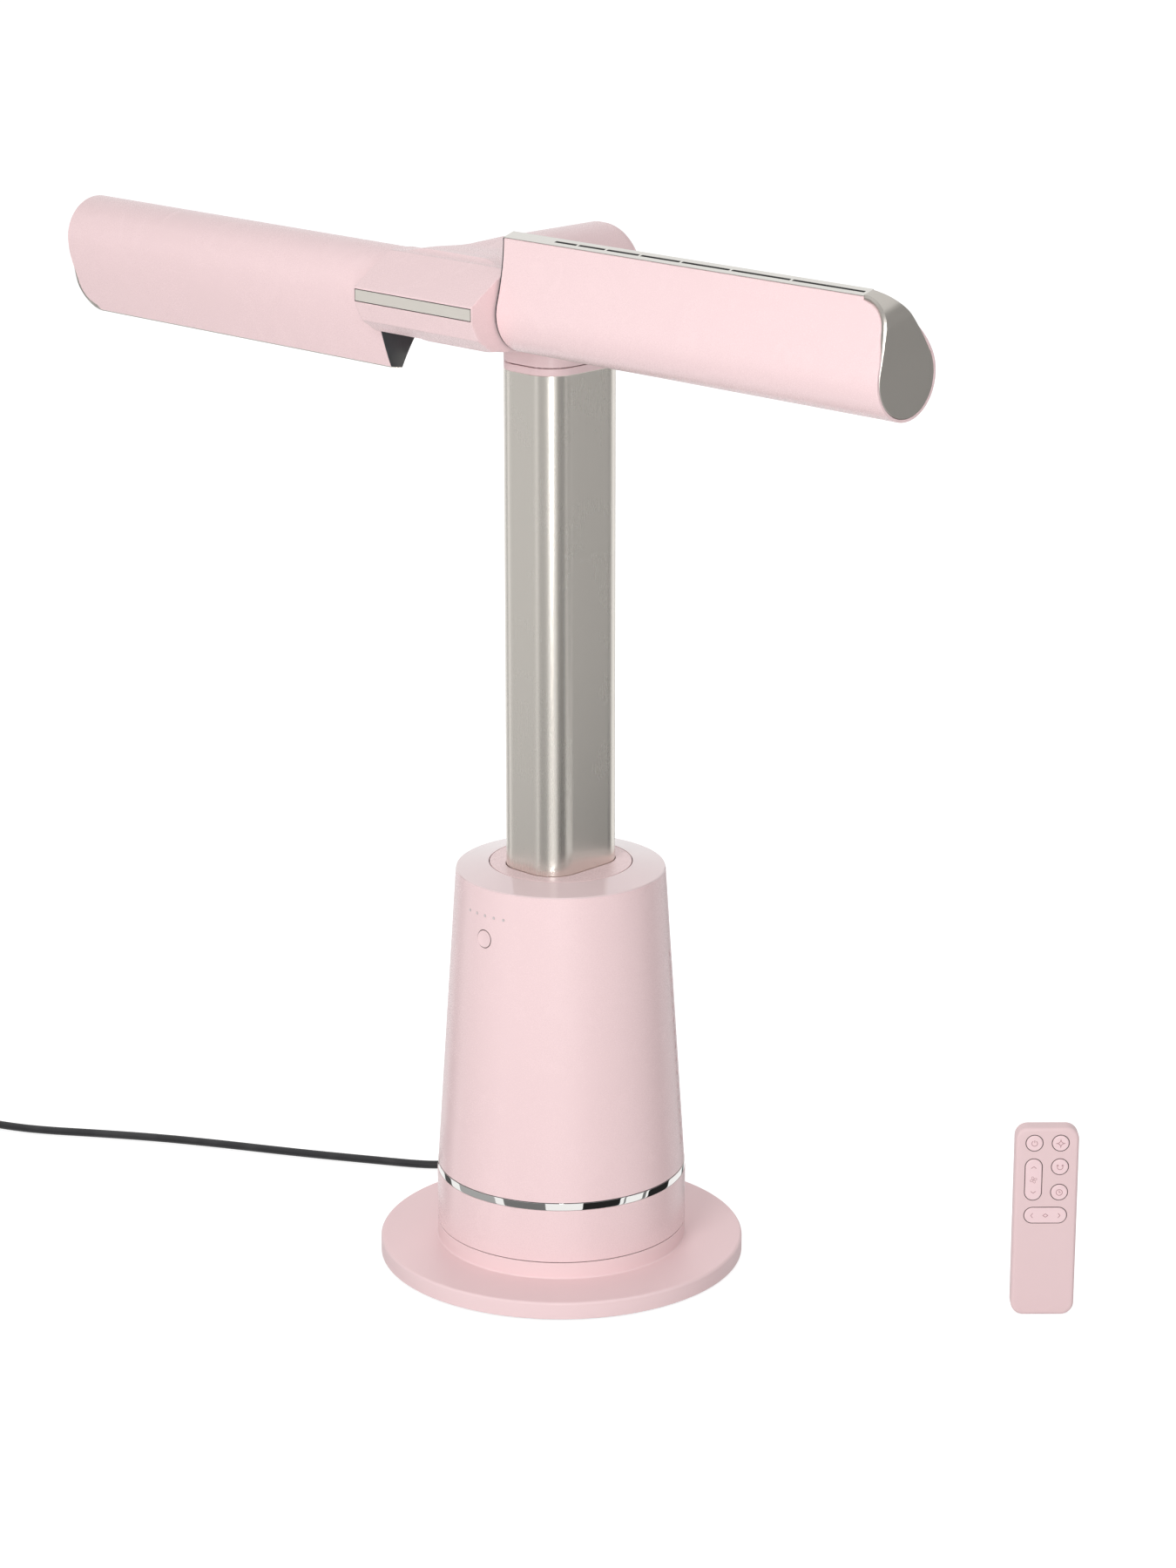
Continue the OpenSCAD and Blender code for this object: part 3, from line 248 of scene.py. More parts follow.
PINK = (0.865, 0.655, 0.665)
satin_pink = moulded("satin_pink_shell", PINK, 0.27, grain=1700.0, depth=0.000006)
matt_pink = moulded("matt_pink_base", PINK, 0.46, grain=1500.0, depth=0.00001)
gloss_pink = moulded("gloss_pink_cap", (0.80, 0.62, 0.63), 0.07, gloss_drift=0.02, depth=0.000001, dust=0.15,
                     coat=1.0, coat_rough=0.02)
remote_pink = moulded("remote_pink_shell", (0.80, 0.60, 0.61), 0.42, grain=2200.0, depth=0.000008)
key_pink = moulded("soft_key_pink", (0.88, 0.66, 0.68), 0.33, grain=2600.0, depth=0.000004)
icon_rose = moulded("printed_icon_rose", (0.42, 0.20, 0.22), 0.4)
pole_champagne = drawn("champagne_anodised_pole", (0.82, 0.775, 0.712), 0.27, contrast=0.04, anisotropic=0.3)
cap_taupe = drawn("taupe_satin_end_cap", (0.55, 0.52, 0.48), 0.3, contrast=0.06, scale=(60.0, 900.0, 900.0))
strip_silver = drawn("bright_slot_strip", (0.72, 0.70, 0.66), 0.18, contrast=0.08, scale=(10.0, 1400.0,
    1400.0))
ring_chrome = drawn("bright_trim_chrome", (0.86, 0.85, 0.83), 0.035, contrast=0.015, scale=(30.0, 30.0,
    900.0))
display_grey = moulded("pale_grey_display", (0.60, 0.565, 0.515), 0.12, drift=0.02, gloss_drift=0.02,
                       depth=0.000001, coat=0.6, coat_rough=0.03)
lens_white = moulded("milky_lens", (0.62, 0.55, 0.55), 0.25, depth=0.000002)
gloss_black = moulded("gloss_black_root", (0.028, 0.031, 0.035), 0.2, depth=0.000004, dust=0.5)
# Near-black sheets set in seams and round the button, display and keys: painted shade in the gaps, not a real
# part.
line_shadow = moulded("painted_seam_shade", (0.055, 0.04, 0.04), 0.8)
soft_rubber = moulded("soft_black_rubber", (0.028, 0.028, 0.03), 0.7, grain=1200.0, depth=0.00003, dust=0.6)
cable_black = moulded("black_cable_sheath", (0.022, 0.022, 0.024), 0.42, grain=1500.0, depth=0.00002,
                      dust=0.4)
plain_steel = drawn("plain_brushed_steel", (0.58, 0.58, 0.57), 0.3, scale=(900.0, 40.0, 900.0))
pin_brass = drawn("plug_pin_brass", (0.75, 0.60, 0.32), 0.24, scale=(800.0, 30.0, 800.0))
cast_grey = moulded("dark_cast_weight", (0.11, 0.11, 0.115), 0.7, drift=0.3, grain=420.0, depth=0.0002)
plain_white = moulded("white_engineering_plastic", (0.70, 0.69, 0.65), 0.45, depth=0.00001)
plain_dark = moulded("dark_engineering_plastic", (0.05, 0.05, 0.052), 0.55, grain=900.0, depth=0.00003)
board_green = moulded("board_solder_mask", (0.02, 0.13, 0.055), 0.3, drift=0.25, grain=500.0, depth=0.00002)

SLOT_OF = {id(m): s for m, s in (
    (satin_pink, "pink_shell"), (matt_pink, "pink_shell"), (gloss_pink, "pink_shell"),
    (remote_pink, "pink_shell"),
    (key_pink, "pink_button"), (icon_rose, "pink_button"), (pole_champagne, "pole_metal"),
    (cap_taupe, "arm_metal"),
    (strip_silver, "arm_metal"), (ring_chrome, "trim_chrome"), (display_grey, "display_grey"),
    (lens_white, "lens_white"), (gloss_black, "root_black"), (line_shadow, "inner_dark"),
    (soft_rubber, "rubber_black"), (cable_black, "lead_black"), (plain_steel, "bare_steel"),
    (pin_brass, "bare_steel"), (plain_white, "inner_white"), (plain_dark, "inner_dark"),
    (board_green, "board_green"))}

# ---------------------------------------------------------------- making pieces


def make(name, verts, faces, body, material, replaces=(), sharp=32, turn=None, normal_of=None, weld=0.0):
    """A mesh piece from millimetre points, smooth between faces that meet under the sharp angle."""
    mesh = bpy.data.meshes.new(name)
    if turn is not None:
        verts = [turn @ Vector(v) for v in verts]
    mesh.from_pydata([Vector(v) * MM for v in verts], [], faces)
    work = bmesh.new()
    work.from_mesh(mesh)
    if weld:
        bmesh.ops.remove_doubles(work, verts=work.verts, dist=weld * MM)
    bmesh.ops.recalc_face_normals(work, faces=work.faces)
    work.to_mesh(mesh)
    work.free()
    mesh.shade_smooth()
    mesh.set_sharp_from_angle(angle=radians(sharp))
    mesh.materials.append(material)
    piece = bpy.data.objects.new(name, mesh)
    bpy.context.scene.collection.objects.link(piece)
    if normal_of is None:
        weight = piece.modifiers.new("even shading", "WEIGHTED_NORMAL")
        weight.keep_sharp = True
    else:
        set_true_normals(mesh, normal_of)
    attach(piece, body)
    SLOT_OF[id(material)]
    if replaces:
        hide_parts(*replaces)
    return piece


def set_true_normals(mesh, normal_of):
    """Corner normals from the shape's own formula, where it gives one; elsewhere those of the mesh."""
    kept = [Vector(c.vector) for c in mesh.corner_normals]
    for face in mesh.polygons:
        for index in face.loop_indices:
            point = mesh.vertices[mesh.loops[index].vertex_index].co
            true = normal_of(point / MM, face.normal)
            if true is not None:
                kept[index] = true
    mesh.normals_split_custom_set([tuple(k.normalized()) for k in kept])


def add_shape(verts, faces, more_verts, more_faces):
    """Joins a second shape's points and faces onto the first one's lists."""
    faces += [tuple(i + len(verts) for i in face) for face in more_faces]
    verts += more_verts


def loft(rings, closed=False, caps=(True, True)):
    """Faces between rings of equally many points; a closed loft joins its last ring to its first."""
    count, total = len(rings[0]), len(rings)
    verts = [p for ring in rings for p in ring]
    faces = []
    for j in range(total if closed else total - 1):
        a, b = j * count, ((j + 1) % total) * count
        faces += [(a + i, a + (i + 1) % count, b + (i + 1) % count, b + i) for i in range(count)]
    if not closed:
        if caps[0]:
            faces.append(tuple(reversed(range(count))))
        if caps[1]:
            faces.append(tuple(range((total - 1) * count, total * count)))
    return verts, faces


def rounded(points, radii, steps=5):
    """A closed path with its corners rounded; radii is one number or one for each corner."""
    total, made = len(points), []
    radii = radii if hasattr(radii, "__len__") else [radii] * total
    for i, radius in enumerate(radii):
        before, here, after = (Vector(points[(i + k) % total]) for k in (-1, 0, 1))
        a, b = before - here, after - here
        if radius <= 0 or a.length < 1e-6 or b.length < 1e-6:
            made.append(tuple(here))
            continue
        a_way, b_way = a.normalized(), b.normalized()
        half = a_way.angle(b_way) / 2
        if half > radians(88):
            made.append(tuple(here))
            continue
        reach = min(radius / np.tan(half), a.length * 0.49, b.length * 0.49)
        for k in range(steps + 1):
            t = k / steps
            p, q = here + a_way * reach, here + b_way * reach
            bulge = (1 - t) ** 2 * p + 2 * t * (1 - t) * here + t ** 2 * q
            centre_line = (a_way + b_way).normalized()
            arc_centre = here + centre_line * (reach / cos(half))
            true_radius = reach * np.tan(half)
            made.append(tuple(arc_centre + (bulge - arc_centre).normalized() * true_radius))
    return made


def lathe(profile, count=160):
    """A closed (radius, height) profile turned about Z."""
    angles = [2 * pi * i / count for i in range(count)]
    return loft([[(r * cos(a), r * sin(a), z) for a in angles] for r, z in profile], closed=True)


def offset(path, amount, closed=True):
    """A path moved sideways to its left by amount, point by point."""
    pts = [Vector(p) for p in path]
    total, made = len(pts), []
    for i, here in enumerate(pts):
        before = pts[i - 1] if closed or i else here
        after = pts[(i + 1) % total] if closed or i < total - 1 else here
        first, second = here - before, after - here
        if first.length < 1e-9:
            first = second
        if second.length < 1e-9:
            second = first
        n1 = Vector((-first.y, first.x)).normalized()
        n2 = Vector((-second.y, second.x)).normalized()
        middle = (n1 + n2).normalized()
        made.append(tuple(here + middle * (amount / max(0.5, middle.dot(n1)))))
    return made


def box_outline(width, depth, radius, steps=10):
    w, d = width / 2, depth / 2
    return rounded([(-w, -d), (w, -d), (w, d), (-w, d)], radius, steps)


def circle_outline(radius, count=32, centre=(0, 0)):
    return [(centre[0] + radius * cos(2 * pi * i / count), centre[1] + radius * sin(2 * pi * i / count))
            for i in range(count)]


def stadium(width, height, count=14, centre=(0, 0)):
    """Outline of a slot with round ends."""
    r = min(width, height) / 2
    x, y = width / 2 - r, height / 2 - r
    made = []
    for cx, cy, start in ((x, y, 0), (-x, y, 90), (-x, -y, 180), (x, -y, 270)):
        for k in range(count // 2 + 1):
            a = radians(start + 90 * k / (count // 2))
            made.append((centre[0] + cx + r * cos(a), centre[1] + cy + r * sin(a)))
    clean = [p for i, p in enumerate(made) if (Vector(p) - Vector(made[i - 1])).length > 1e-6]
    return clean


def inside(point, loop):
    x, y = point
    hit = False
    for (x0, y0), (x1, y1) in zip(loop, loop[1:] + loop[:1]):
        if (y0 > y) != (y1 > y) and x < (x1 - x0) * (y - y0) / (y1 - y0) + x0:
            hit = not hit
    return hit


def pierced(outer, holes, to_point, extra=(), skip_edge=None):
    """A plate with holes. outer and each hole are lists of (loop, depth) from its face to its back, and
    to_point(a, b, depth) places them. extra points keep a curved plate smooth."""
    verts, faces = [], []
    sides = [outer] + holes

    def cover(level, backwards):
        loops = [side[level][0] for side in sides]
        depths = [side[level][1] for side in sides]
        flat, edges, depth_of, owner = [], [], [], []
        for index, loop in enumerate(loops):
            first = len(flat)
            flat += [Vector(p) for p in loop]
            depth_of += [depths[index]] * len(loop)
            owner += [(index, k) for k in range(len(loop))]
            edges += [(first + k, first + (k + 1) % len(loop)) for k in range(len(loop))]
        for p in extra:
            flat.append(Vector(p))
            depth_of.append(depths[0])
            owner.append(None)
        out_verts, _, out_faces, origin, _, _ = delaunay_2d_cdt(flat, edges, [], 1, 1e-7)
        base = len(verts)
        back = {}
        for i, p in enumerate(out_verts):
            source = origin[i][0] if origin[i] else None
            depth = depth_of[source] if source is not None else depths[0]
            verts.append(to_point(p.x, p.y, depth))
            if source is not None:
                for s in origin[i]:
                    if owner[s] is not None:
                        back[owner[s]] = base + i
        for face in out_faces:
            middle = sum((out_verts[i] for i in face), Vector((0, 0))) / len(face)
            if any(inside(middle, loop) for loop in loops[1:]):
                continue
            faces.append(tuple(base + i for i in (reversed(face) if backwards else face)))
        return back

    front = cover(0, False)
    rear = cover(-1, True)
    for index, side in enumerate(sides):
        rows = [[front[(index, k)] for k in range(len(side[0][0]))]]
        for loop, depth in side[1:-1]:
            rows.append(list(range(len(verts), len(verts) + len(loop))))
            verts.extend(to_point(a, b, depth) for a, b in loop)
        rows.append([rear[(index, k)] for k in range(len(side[-1][0]))])
        count = len(rows[0])
        for a, b in zip(rows, rows[1:]):
            for k in range(count):
                j = (k + 1) % count
                if index == 0 and skip_edge and skip_edge(side[0][0][k], side[0][0][j]):
                    continue
                faces.append((a[k], a[j], b[j], b[k]))
    return verts, faces


def chamfered_hole(outline_at, depth, cut=0.3):
    """Loops of a hole with a broken edge; outline_at(grow) gives its outline."""
    return [(outline_at(cut), 0), (outline_at(0), cut), (outline_at(0), depth)]

# ---------------------------------------------------------------- mains lead, its plug and strain relief

LEAD = 6.5
LEAD_ROUTE = [
    (-87.3, 157.4, 8), (-94, 163, 7.3), (-104, 174, 5.6), (-119, 180, 4.1), (-135, 180, 3.4),
    (-149, 172, 3.3), (-158, 160, 3.3), (-161, 147, 3.3), (-162, 128, 3.3), (-164, 108, 3.3),
    (-166, 88, 3.3), (-171, 68, 3.3), (-180, 50, 3.3), (-195, 36, 3.3), (-226, 18, 3.3),
    (-262, -3, 3.3), (-302, -25, 3.3), (-350, -50, 3.3), (-394, -75, 3.3), (-438, -104, 3.3),
    (-480, -134, 3.3), (-514, -150, 3.3), (-538, -156, 3.3), (-553, -157.5, 3.3)]
COIL_CENTRE, COIL_RADII, COIL_LAYERS = (-564, -203.4), (45.9, 26.1), (3.3, 9.9)
COIL_STEP = 22.5
EXIT_HEIGHT, EXIT_TURN = 8, radians(29)


def ease(value, start, end):
    t = min(1.0, max(0.0, (value - start) / (end - start)))
    return t * t * (3 - 2 * t)


def coil_point(angle):
    """Three turns close in as a flat spiral, step up one layer, and two more open out on top."""
    outer, inner = COIL_RADII
    pitch = (outer - inner) / 3
    if angle < 1170:
        radius = outer - pitch * (angle - 90) / 360
    else:
        radius = inner + pitch * ease(angle, 1170, 1290) + pitch * max(0, angle - 1260) / 360
    height = COIL_LAYERS[0] + (COIL_LAYERS[1] - COIL_LAYERS[0]) * ease(angle, 1150, 1260)
    wide = radius / (0.75 + 0.25 * cos(radians(COIL_STEP)))
    return (COIL_CENTRE[0] + wide * cos(radians(angle)), COIL_CENTRE[1] + wide * sin(radians(angle)), height)


PLUG_TIP = span("plug_body")[0].y
PLUG_X = (span("plug_body")[0].x + span("plug_body")[1].x) / 2
PLUG_LONG, PLUG_TAIL = 34, 18
PLUG_BACK = PLUG_TIP + PLUG_LONG

lead_points = [(-168 * sin(EXIT_TURN), 168 * cos(EXIT_TURN), EXIT_HEIGHT)] + LEAD_ROUTE
angle = 90 + COIL_STEP / 2
while angle < 1980:
    lead_points.append(coil_point(angle))
    angle += COIL_STEP
lead_points += [(COIL_CENTRE[0] - COIL_RADII[0], COIL_CENTRE[1] - 4, COIL_LAYERS[1]),
                (PLUG_X, PLUG_BACK + PLUG_TAIL + 6, 10), (PLUG_X, PLUG_BACK + PLUG_TAIL - 6, 10)]
lead_curve = bpy.data.curves.new("mains_lead_sheath", "CURVE")
lead_curve.dimensions, lead_curve.resolution_u = "3D", 6
lead_curve.bevel_depth, lead_curve.bevel_resolution, lead_curve.use_fill_caps = LEAD / 2 * MM, 5, True
lead_line = lead_curve.splines.new("NURBS")
lead_line.points.add(len(lead_points) - 1)
for control, point in zip(lead_line.points, lead_points):
    control.co = (*(Vector(point) * MM), 1)
lead_line.order_u, lead_line.use_endpoint_u = 3, True
lead_curve.materials.append(cable_black)
lead = bpy.data.objects.new("mains_lead_sheath", lead_curve)
bpy.context.scene.collection.objects.link(lead)
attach(lead, "base")
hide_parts("mains_lead", "lead_coil")


def about_y(height, x=0.0):
    """Turns a shape made about Z so that its axis lies along Y at that height."""
    return Matrix.Translation((x, 0, height)) @ Matrix.Rotation(radians(-90), 4, "X")


def ribbed_neck(start, end, thick, thin, ribs, bore):
    """Profile of a tapered, grooved strain relief from start to end."""
    path = [(bore, start), (thick, start)]
    pitch = (end - start) / (ribs + 0.5)
    for i in range(ribs):
        at = start + pitch * (i + 0.55)
        r = thick + (thin - thick) * (at - start) / (end - start)
        path += [(r, at), (r - 0.9, at + 0.25), (r - 0.9, at + pitch * 0.3),
                 (r - 0.06, at + pitch * 0.3 + 0.25)]
    return path + [(thin, end - 0.6), (thin - 0.5, end), (bore, end)]


base_rim = span("base_cover")[1].x
flange = rounded([(3.3, base_rim + 0.1), (5.85, base_rim + 0.1), (5.85, base_rim + 3), (3.3, base_rim + 3)],
                 [0, 0, 0.8, 0], 4)
relief_verts, relief_faces = lathe(flange, 48)
more_verts, more_faces = lathe(ribbed_neck(base_rim + 2, base_rim + 34, 5.1, 4.2, 6, 3.3), 48)
relief_faces += [tuple(i + len(relief_verts) for i in f) for f in more_faces]
relief = make("strain_relief_boot", relief_verts + more_verts, relief_faces, "base", soft_rubber,
              ["cord_strain_relief"], sharp=40, turn=Matrix.Rotation(EXIT_TURN, 4,
                  "Z") @ about_y(EXIT_HEIGHT))

plug_place = Matrix.Translation((PLUG_X, PLUG_BACK, 10)) @ Matrix.Rotation(radians(-90), 4, "Z")


def plug_ring(x, width, height, corner):
    return [(x, a, b) for a, b in rounded_box_even(width, height, corner)]


def rounded_box_even(width, height, corner, steps=8):
    """A rounded box outline with the same number of points whatever its size, a circle included."""
    made = []
    for index, (sx, sy) in enumerate(((1, 1), (-1, 1), (-1, -1), (1, -1))):
        cx, cy = sx * (width / 2 - corner), sy * (height / 2 - corner)
        for k in range(steps + 1):
            a = radians(90 * index + 90 * (k + 0.02) / (steps + 0.04))
            made.append((cx + corner * cos(a), cy + corner * sin(a)))
    return made


plug_rings = []
for x, r in ((-18, 3.9), (-17.6, 4.25), (-14.5, 4.9), (-14.2, 4.1), (-13.2, 4.1), (-12.9, 5.3), (-10.4, 5.8),
             (-10.1, 4.9),
             (-9.1, 4.9), (-8.8, 6.2), (-6.4, 6.7), (-6.1, 5.7), (-5.1, 5.7), (-4.8, 7.0), (-2, 7.6)):
    plug_rings.append(plug_ring(x, 2 * r, 2 * r, r * 0.999))
for x, width, height, corner in ((0, 17, 16, 7.4), (2, 20.5, 18, 6.6), (4.5, 23, 19.4, 6), (8, 24, 20, 5.6),
                                 (13, 23.2, 19.2, 5.4),
                                 (18, 22.9, 18.9, 5.4), (23, 23.2, 19.2, 5.4), (28, 24, 20, 5.2),
                                 (32.4, 24, 20, 5),
                                 (33.5, 23.4, 19.4, 4.8), (34, 22, 18, 4.2)):
    plug_rings.append(plug_ring(x, width, height, corner))
plug = make("plug_moulding", *loft(plug_rings), "base", cable_black, ["plug_body"], sharp=50, turn=plug_place)

blades_verts, blades_faces = [], []
for side in (-1, 1):
    blade_outline = lambda grow: rounded([(27.5 - grow, -3.2 - grow), (51 + grow, -3.2 - grow),
                                          (51 + grow, 3.2 + grow), (27.5 - grow, 3.2 + grow)],
                                         [0, 2.0, 2.0, 0], 5)
    v, f = pierced([(blade_outline(-0.25), 0), (blade_outline(0), 0.25), (blade_outline(0), 1.35),
                    (blade_outline(-0.25), 1.6)],
                   [[(circle_outline(1.8, 20, (47, 0)), 0), (circle_outline(1.6, 20, (47, 0)), 0.2),
                     (circle_outline(1.6, 20, (47, 0)), 1.4),
                     (circle_outline(1.8, 20, (47, 0)), 1.6)]],
                   lambda a, b, depth, side=side: (a, side * 12.7 / 2 + 0.8 - depth, b))
    add_shape(blades_verts, blades_faces, v, f)
blades = make("plug_blades", blades_verts, blades_faces, "base", pin_brass, ["plug_pins"], sharp=30,
              turn=plug_place)

# ---------------------------------------------------------------- base and turning body

TOWER, TRIM, SHELL = span("lower_housing"), span("trim_ring"), span("body_shell")
CAP, COLLAR, POLE = span("top_cap"), span("pole_collar"), span("pole_tube")
BODY_R, TRIM_R, CAP_R, COLLAR_R = TOWER[1].x, TRIM[1].x, CAP[1].x, COLLAR[1].x
FOOT_R, TOP_R = BODY_R - 0.7, CAP_R + 0.1
SKIRT_TOP, PLATE_TOP = TOWER[0].z - 0.6, span("swing_ring_gear")[0].z
TAPER = (FOOT_R - TOP_R) / (SHELL[1].z - SHELL[0].z)
LEAN = atan(TAPER)
WALL = 2.5


def body_radius(z):
    return FOOT_R - TAPER * (z - SHELL[0].z)


rim = base_rim
make("base_plate_cover", *lathe(rounded(
    [(rim - 3, 12), (rim - 3, 1.5), (rim, 1.5), (rim, PLATE_TOP), (BODY_R, PLATE_TOP), (BODY_R, SKIRT_TOP),
     (BODY_R - 3, SKIRT_TOP),
     (BODY_R - 3, PLATE_TOP), (16, PLATE_TOP), (16, 43.3), (13, 43.3), (13, 4.1), (34, 4.1), (34, 12)],
    [0, 0.4, 0.8, 2.2, 1.1, 0.45, 0.3, 0, 0, 0.3, 0.3, 0, 0, 0], 6), 220), "base", matt_pink, ["base_cover"])
# A near-black ring inside the seam over the skirt: painted shade in the gap.
make("turning_seam_painted_shade", *lathe([(BODY_R - 6, SKIRT_TOP + 0.02), (BODY_R - 0.9, SKIRT_TOP + 0.02),
                                    (BODY_R - 0.9, TOWER[0].z - 0.02),
                                    (BODY_R - 6, TOWER[0].z - 0.02)], 220), "base", line_shadow)
make("turning_housing", *lathe(rounded(
    [(16.05, TOWER[0].z), (BODY_R, TOWER[0].z), (BODY_R, TOWER[1].z), (BODY_R - WALL, TOWER[1].z),
     (BODY_R - WALL, TOWER[0].z + 3),
     (16.05, TOWER[0].z + 3)], [0.2, 0.45, 0.4, 0, 0, 0], 5), 220), "tower", satin_pink, ["lower_housing"])
GROOVE = 0.3
band_low, band_high = TRIM[0].z + GROOVE, TRIM[1].z - GROOVE
crown = [(TRIM_R - 0.08 + 0.08 * cos(a), (band_low + band_high) / 2 + (band_high - band_low) / 2 * sin(a))
         for a in np.linspace(-pi / 2, pi / 2, 15)]
make("bright_trim_band", *lathe([(TRIM_R - 4.2, band_low)] + crown + [(TRIM_R - 4.2, band_high)], 256),
     "tower", ring_chrome, ["trim_ring"], sharp=50)
# A near-black ring behind the chrome band's grooves: painted shade in them.
make("trim_band_painted_shade", *lathe([(BODY_R - 4.6, TRIM[0].z + 0.02), (BODY_R - 1.0, TRIM[0].z + 0.02),
                                 (BODY_R - 1.0, TRIM[1].z - 0.02),
                                 (BODY_R - 4.6, TRIM[1].z - 0.02)], 220), "tower", line_shadow)

ARC = 87.0     # millimetres of unrolled shell for each radian
INTAKE_TALL = 156
INTAKE_LOW = SHELL[0].z + 18
INTAKE_HIGH = INTAKE_LOW + INTAKE_TALL
INTAKE_HALF = radians(60)
BUTTON_Z, LIGHTS_Z = SHELL[1].z - 38, SHELL[1].z - 20
BUTTON_R, BUTTON_HOLE_R = 6.5, 7.1
BUTTON_BACK = -2.4          # the button's skirt and the near-black ring of painted shade in its well end this far behind the wall's face
LENSES, LENS_R, LENS_STEP = 5, 1.1, 8.8


def on_shell(a, b, depth):
    """Unrolled arc and height to the tapered wall, seen from outside; arc 0 is the front."""
    radius = body_radius(b) - depth * cos(LEAN)
    return (radius * sin(a / ARC), -radius * cos(a / ARC), b)


def shell_normal(point, face_normal):
    out = Vector((point.x, point.y, 0)).normalized() * cos(LEAN) + Vector((0, 0, sin(LEAN)))
    if face_normal.dot(out) > 0.97:
        return out
    if face_normal.dot(out) < -0.97:
        return -out
    return None


def grid_inside(loop, holes, step_a, step_b, clear=2.5):
    """Spread points inside a loop and clear of its holes, to carry a curved plate's shape."""
    a0, a1 = min(p[0] for p in loop), max(p[0] for p in loop)
    b0, b1 = min(p[1] for p in loop), max(p[1] for p in loop)
    edges = np.array([p for ring in [loop] + holes for p in ring])
    made = []
    for i in range(1, int((a1 - a0) / step_a)):
        for j in range(1, max(2, int((b1 - b0) / step_b))):
            p = (a0 + i * step_a, b0 + j * step_b)
            if np.min(np.hypot(edges[:, 0] - p[0], edges[:, 1] - p[1])) < clear:
                continue
            if inside(p, loop) and not any(inside(p, hole) for hole in holes):
                made.append(p)
    return made


def dense(points, step):
    """A closed path with points added so that none is further than step from the next."""
    made = []
    for i, p in enumerate(points):
        q = points[(i + 1) % len(points)]
        parts = max(1, int(np.ceil((Vector(q) - Vector(p)).length / step)))
        made += [(p[0] + (q[0] - p[0]) * k / parts, p[1] + (q[1] - p[1]) * k / parts) for k in range(parts)]
    return made


def rect(a0, a1, b0, b1, grow=0.0, corner=0.0):
    points = [(a0 - grow, b0 - grow), (a1 + grow, b0 - grow), (a1 + grow, b1 + grow), (a0 - grow, b1 + grow)]
    return rounded(points, corner, 6) if corner else points


def shell_edge(inset):
    """The unrolled wall's outline: its long edges in even steps, and its seam at the left side."""
    low, high = SHELL[0].z + inset, SHELL[1].z - inset
    arcs = [ARC * radians(a) for a in np.linspace(-90, 270, 145)]
    heights = list(np.linspace(low, high, 9))
    return [(a, low) for a in arcs[:-1]] + [(arcs[-1], h) for h in heights[:-1]] + \
        [(a, high) for a in reversed(arcs[1:])] + [(arcs[0], h) for h in reversed(heights[1:])]


def intake_edge(grow):
    base = rect(ARC * (pi - INTAKE_HALF), ARC * (pi + INTAKE_HALF), INTAKE_LOW, INTAKE_HIGH, grow, 4.5 + grow)
    return dense(base, 3.2)


def round_on_shell(radius, count, arc_at, z):
    """A true circle as it lies on the unrolled shell, whose width per radian changes with height."""
    stretch = ARC / body_radius(z)
    return [(arc_at + stretch * radius * cos(2 * pi * k / count), z + radius * sin(2 * pi * k / count))
            for k in range(count)]


shell_holes = [chamfered_hole(intake_edge, WALL, 0.3)]
shell_holes.append(chamfered_hole(lambda grow: round_on_shell(BUTTON_HOLE_R + grow, 48, 0, BUTTON_Z), WALL,
                                  0.25))
for i in range(LENSES):
    lens_arc = ARC * (i - LENSES // 2) * LENS_STEP / body_radius(LIGHTS_Z)
    lens_line = lambda grow, arc_at=lens_arc: round_on_shell(LENS_R + grow, 20, arc_at, LIGHTS_Z)
    shell_holes.append(chamfered_hole(lens_line, WALL, 0.12))
outer_side = [(shell_edge(0.35), 0), (shell_edge(0.1), 0.1), (shell_edge(0), 0.35), (shell_edge(0), WALL)]
spread = grid_inside(outer_side[0][0], [side[0][0] for side in shell_holes], ARC * radians(2.5), 20)
seam_line = ARC * radians(-90), ARC * radians(270)


def on_seam(p, q):
    return abs(p[0] - q[0]) < 1e-9 and min(abs(p[0] - s) for s in seam_line) < 1e-6


make("tapered_shell", *pierced(outer_side, shell_holes, on_shell, spread, on_seam), "tower", satin_pink,
     ["body_shell"],
     sharp=28, normal_of=shell_normal, weld=0.01)

GRILLE_COLUMNS = GRILLE_ROWS = 15
GRILLE_HOLE_R = 2.5
GRILLE_EDGE = 4             # from the intake's low and high edge to the nearest row of centres
grille_step = radians(118.5 / GRILLE_COLUMNS)
row_step = (INTAKE_TALL - 2 * GRILLE_EDGE) / (GRILLE_ROWS - 1)
grille_holes = []
for column in range(GRILLE_COLUMNS):
    for row in range(GRILLE_ROWS):
        centre = (ARC * (pi + (column - GRILLE_COLUMNS // 2) * grille_step), INTAKE_LOW + GRILLE_EDGE + row
                  * row_step)
        ring_at = lambda grow, at=centre: round_on_shell(GRILLE_HOLE_R + grow, 14, *at)
        grille_holes.append(chamfered_hole(ring_at, WALL, 0.3))


def grille_edge(grow):
    return dense(rect(ARC * (pi - INTAKE_HALF) + 0.4, ARC * (pi + INTAKE_HALF) - 0.4, INTAKE_LOW + 0.4,
                      INTAKE_HIGH - 0.4, grow, 4.1 + grow), 3.2)


make("perforated_intake", *pierced([(grille_edge(-0.3), 0), (grille_edge(0), 0.3), (grille_edge(0), WALL)],
                                   grille_holes, on_shell),
     "tower", satin_pink, ["intake_grille"], sharp=28, normal_of=shell_normal)

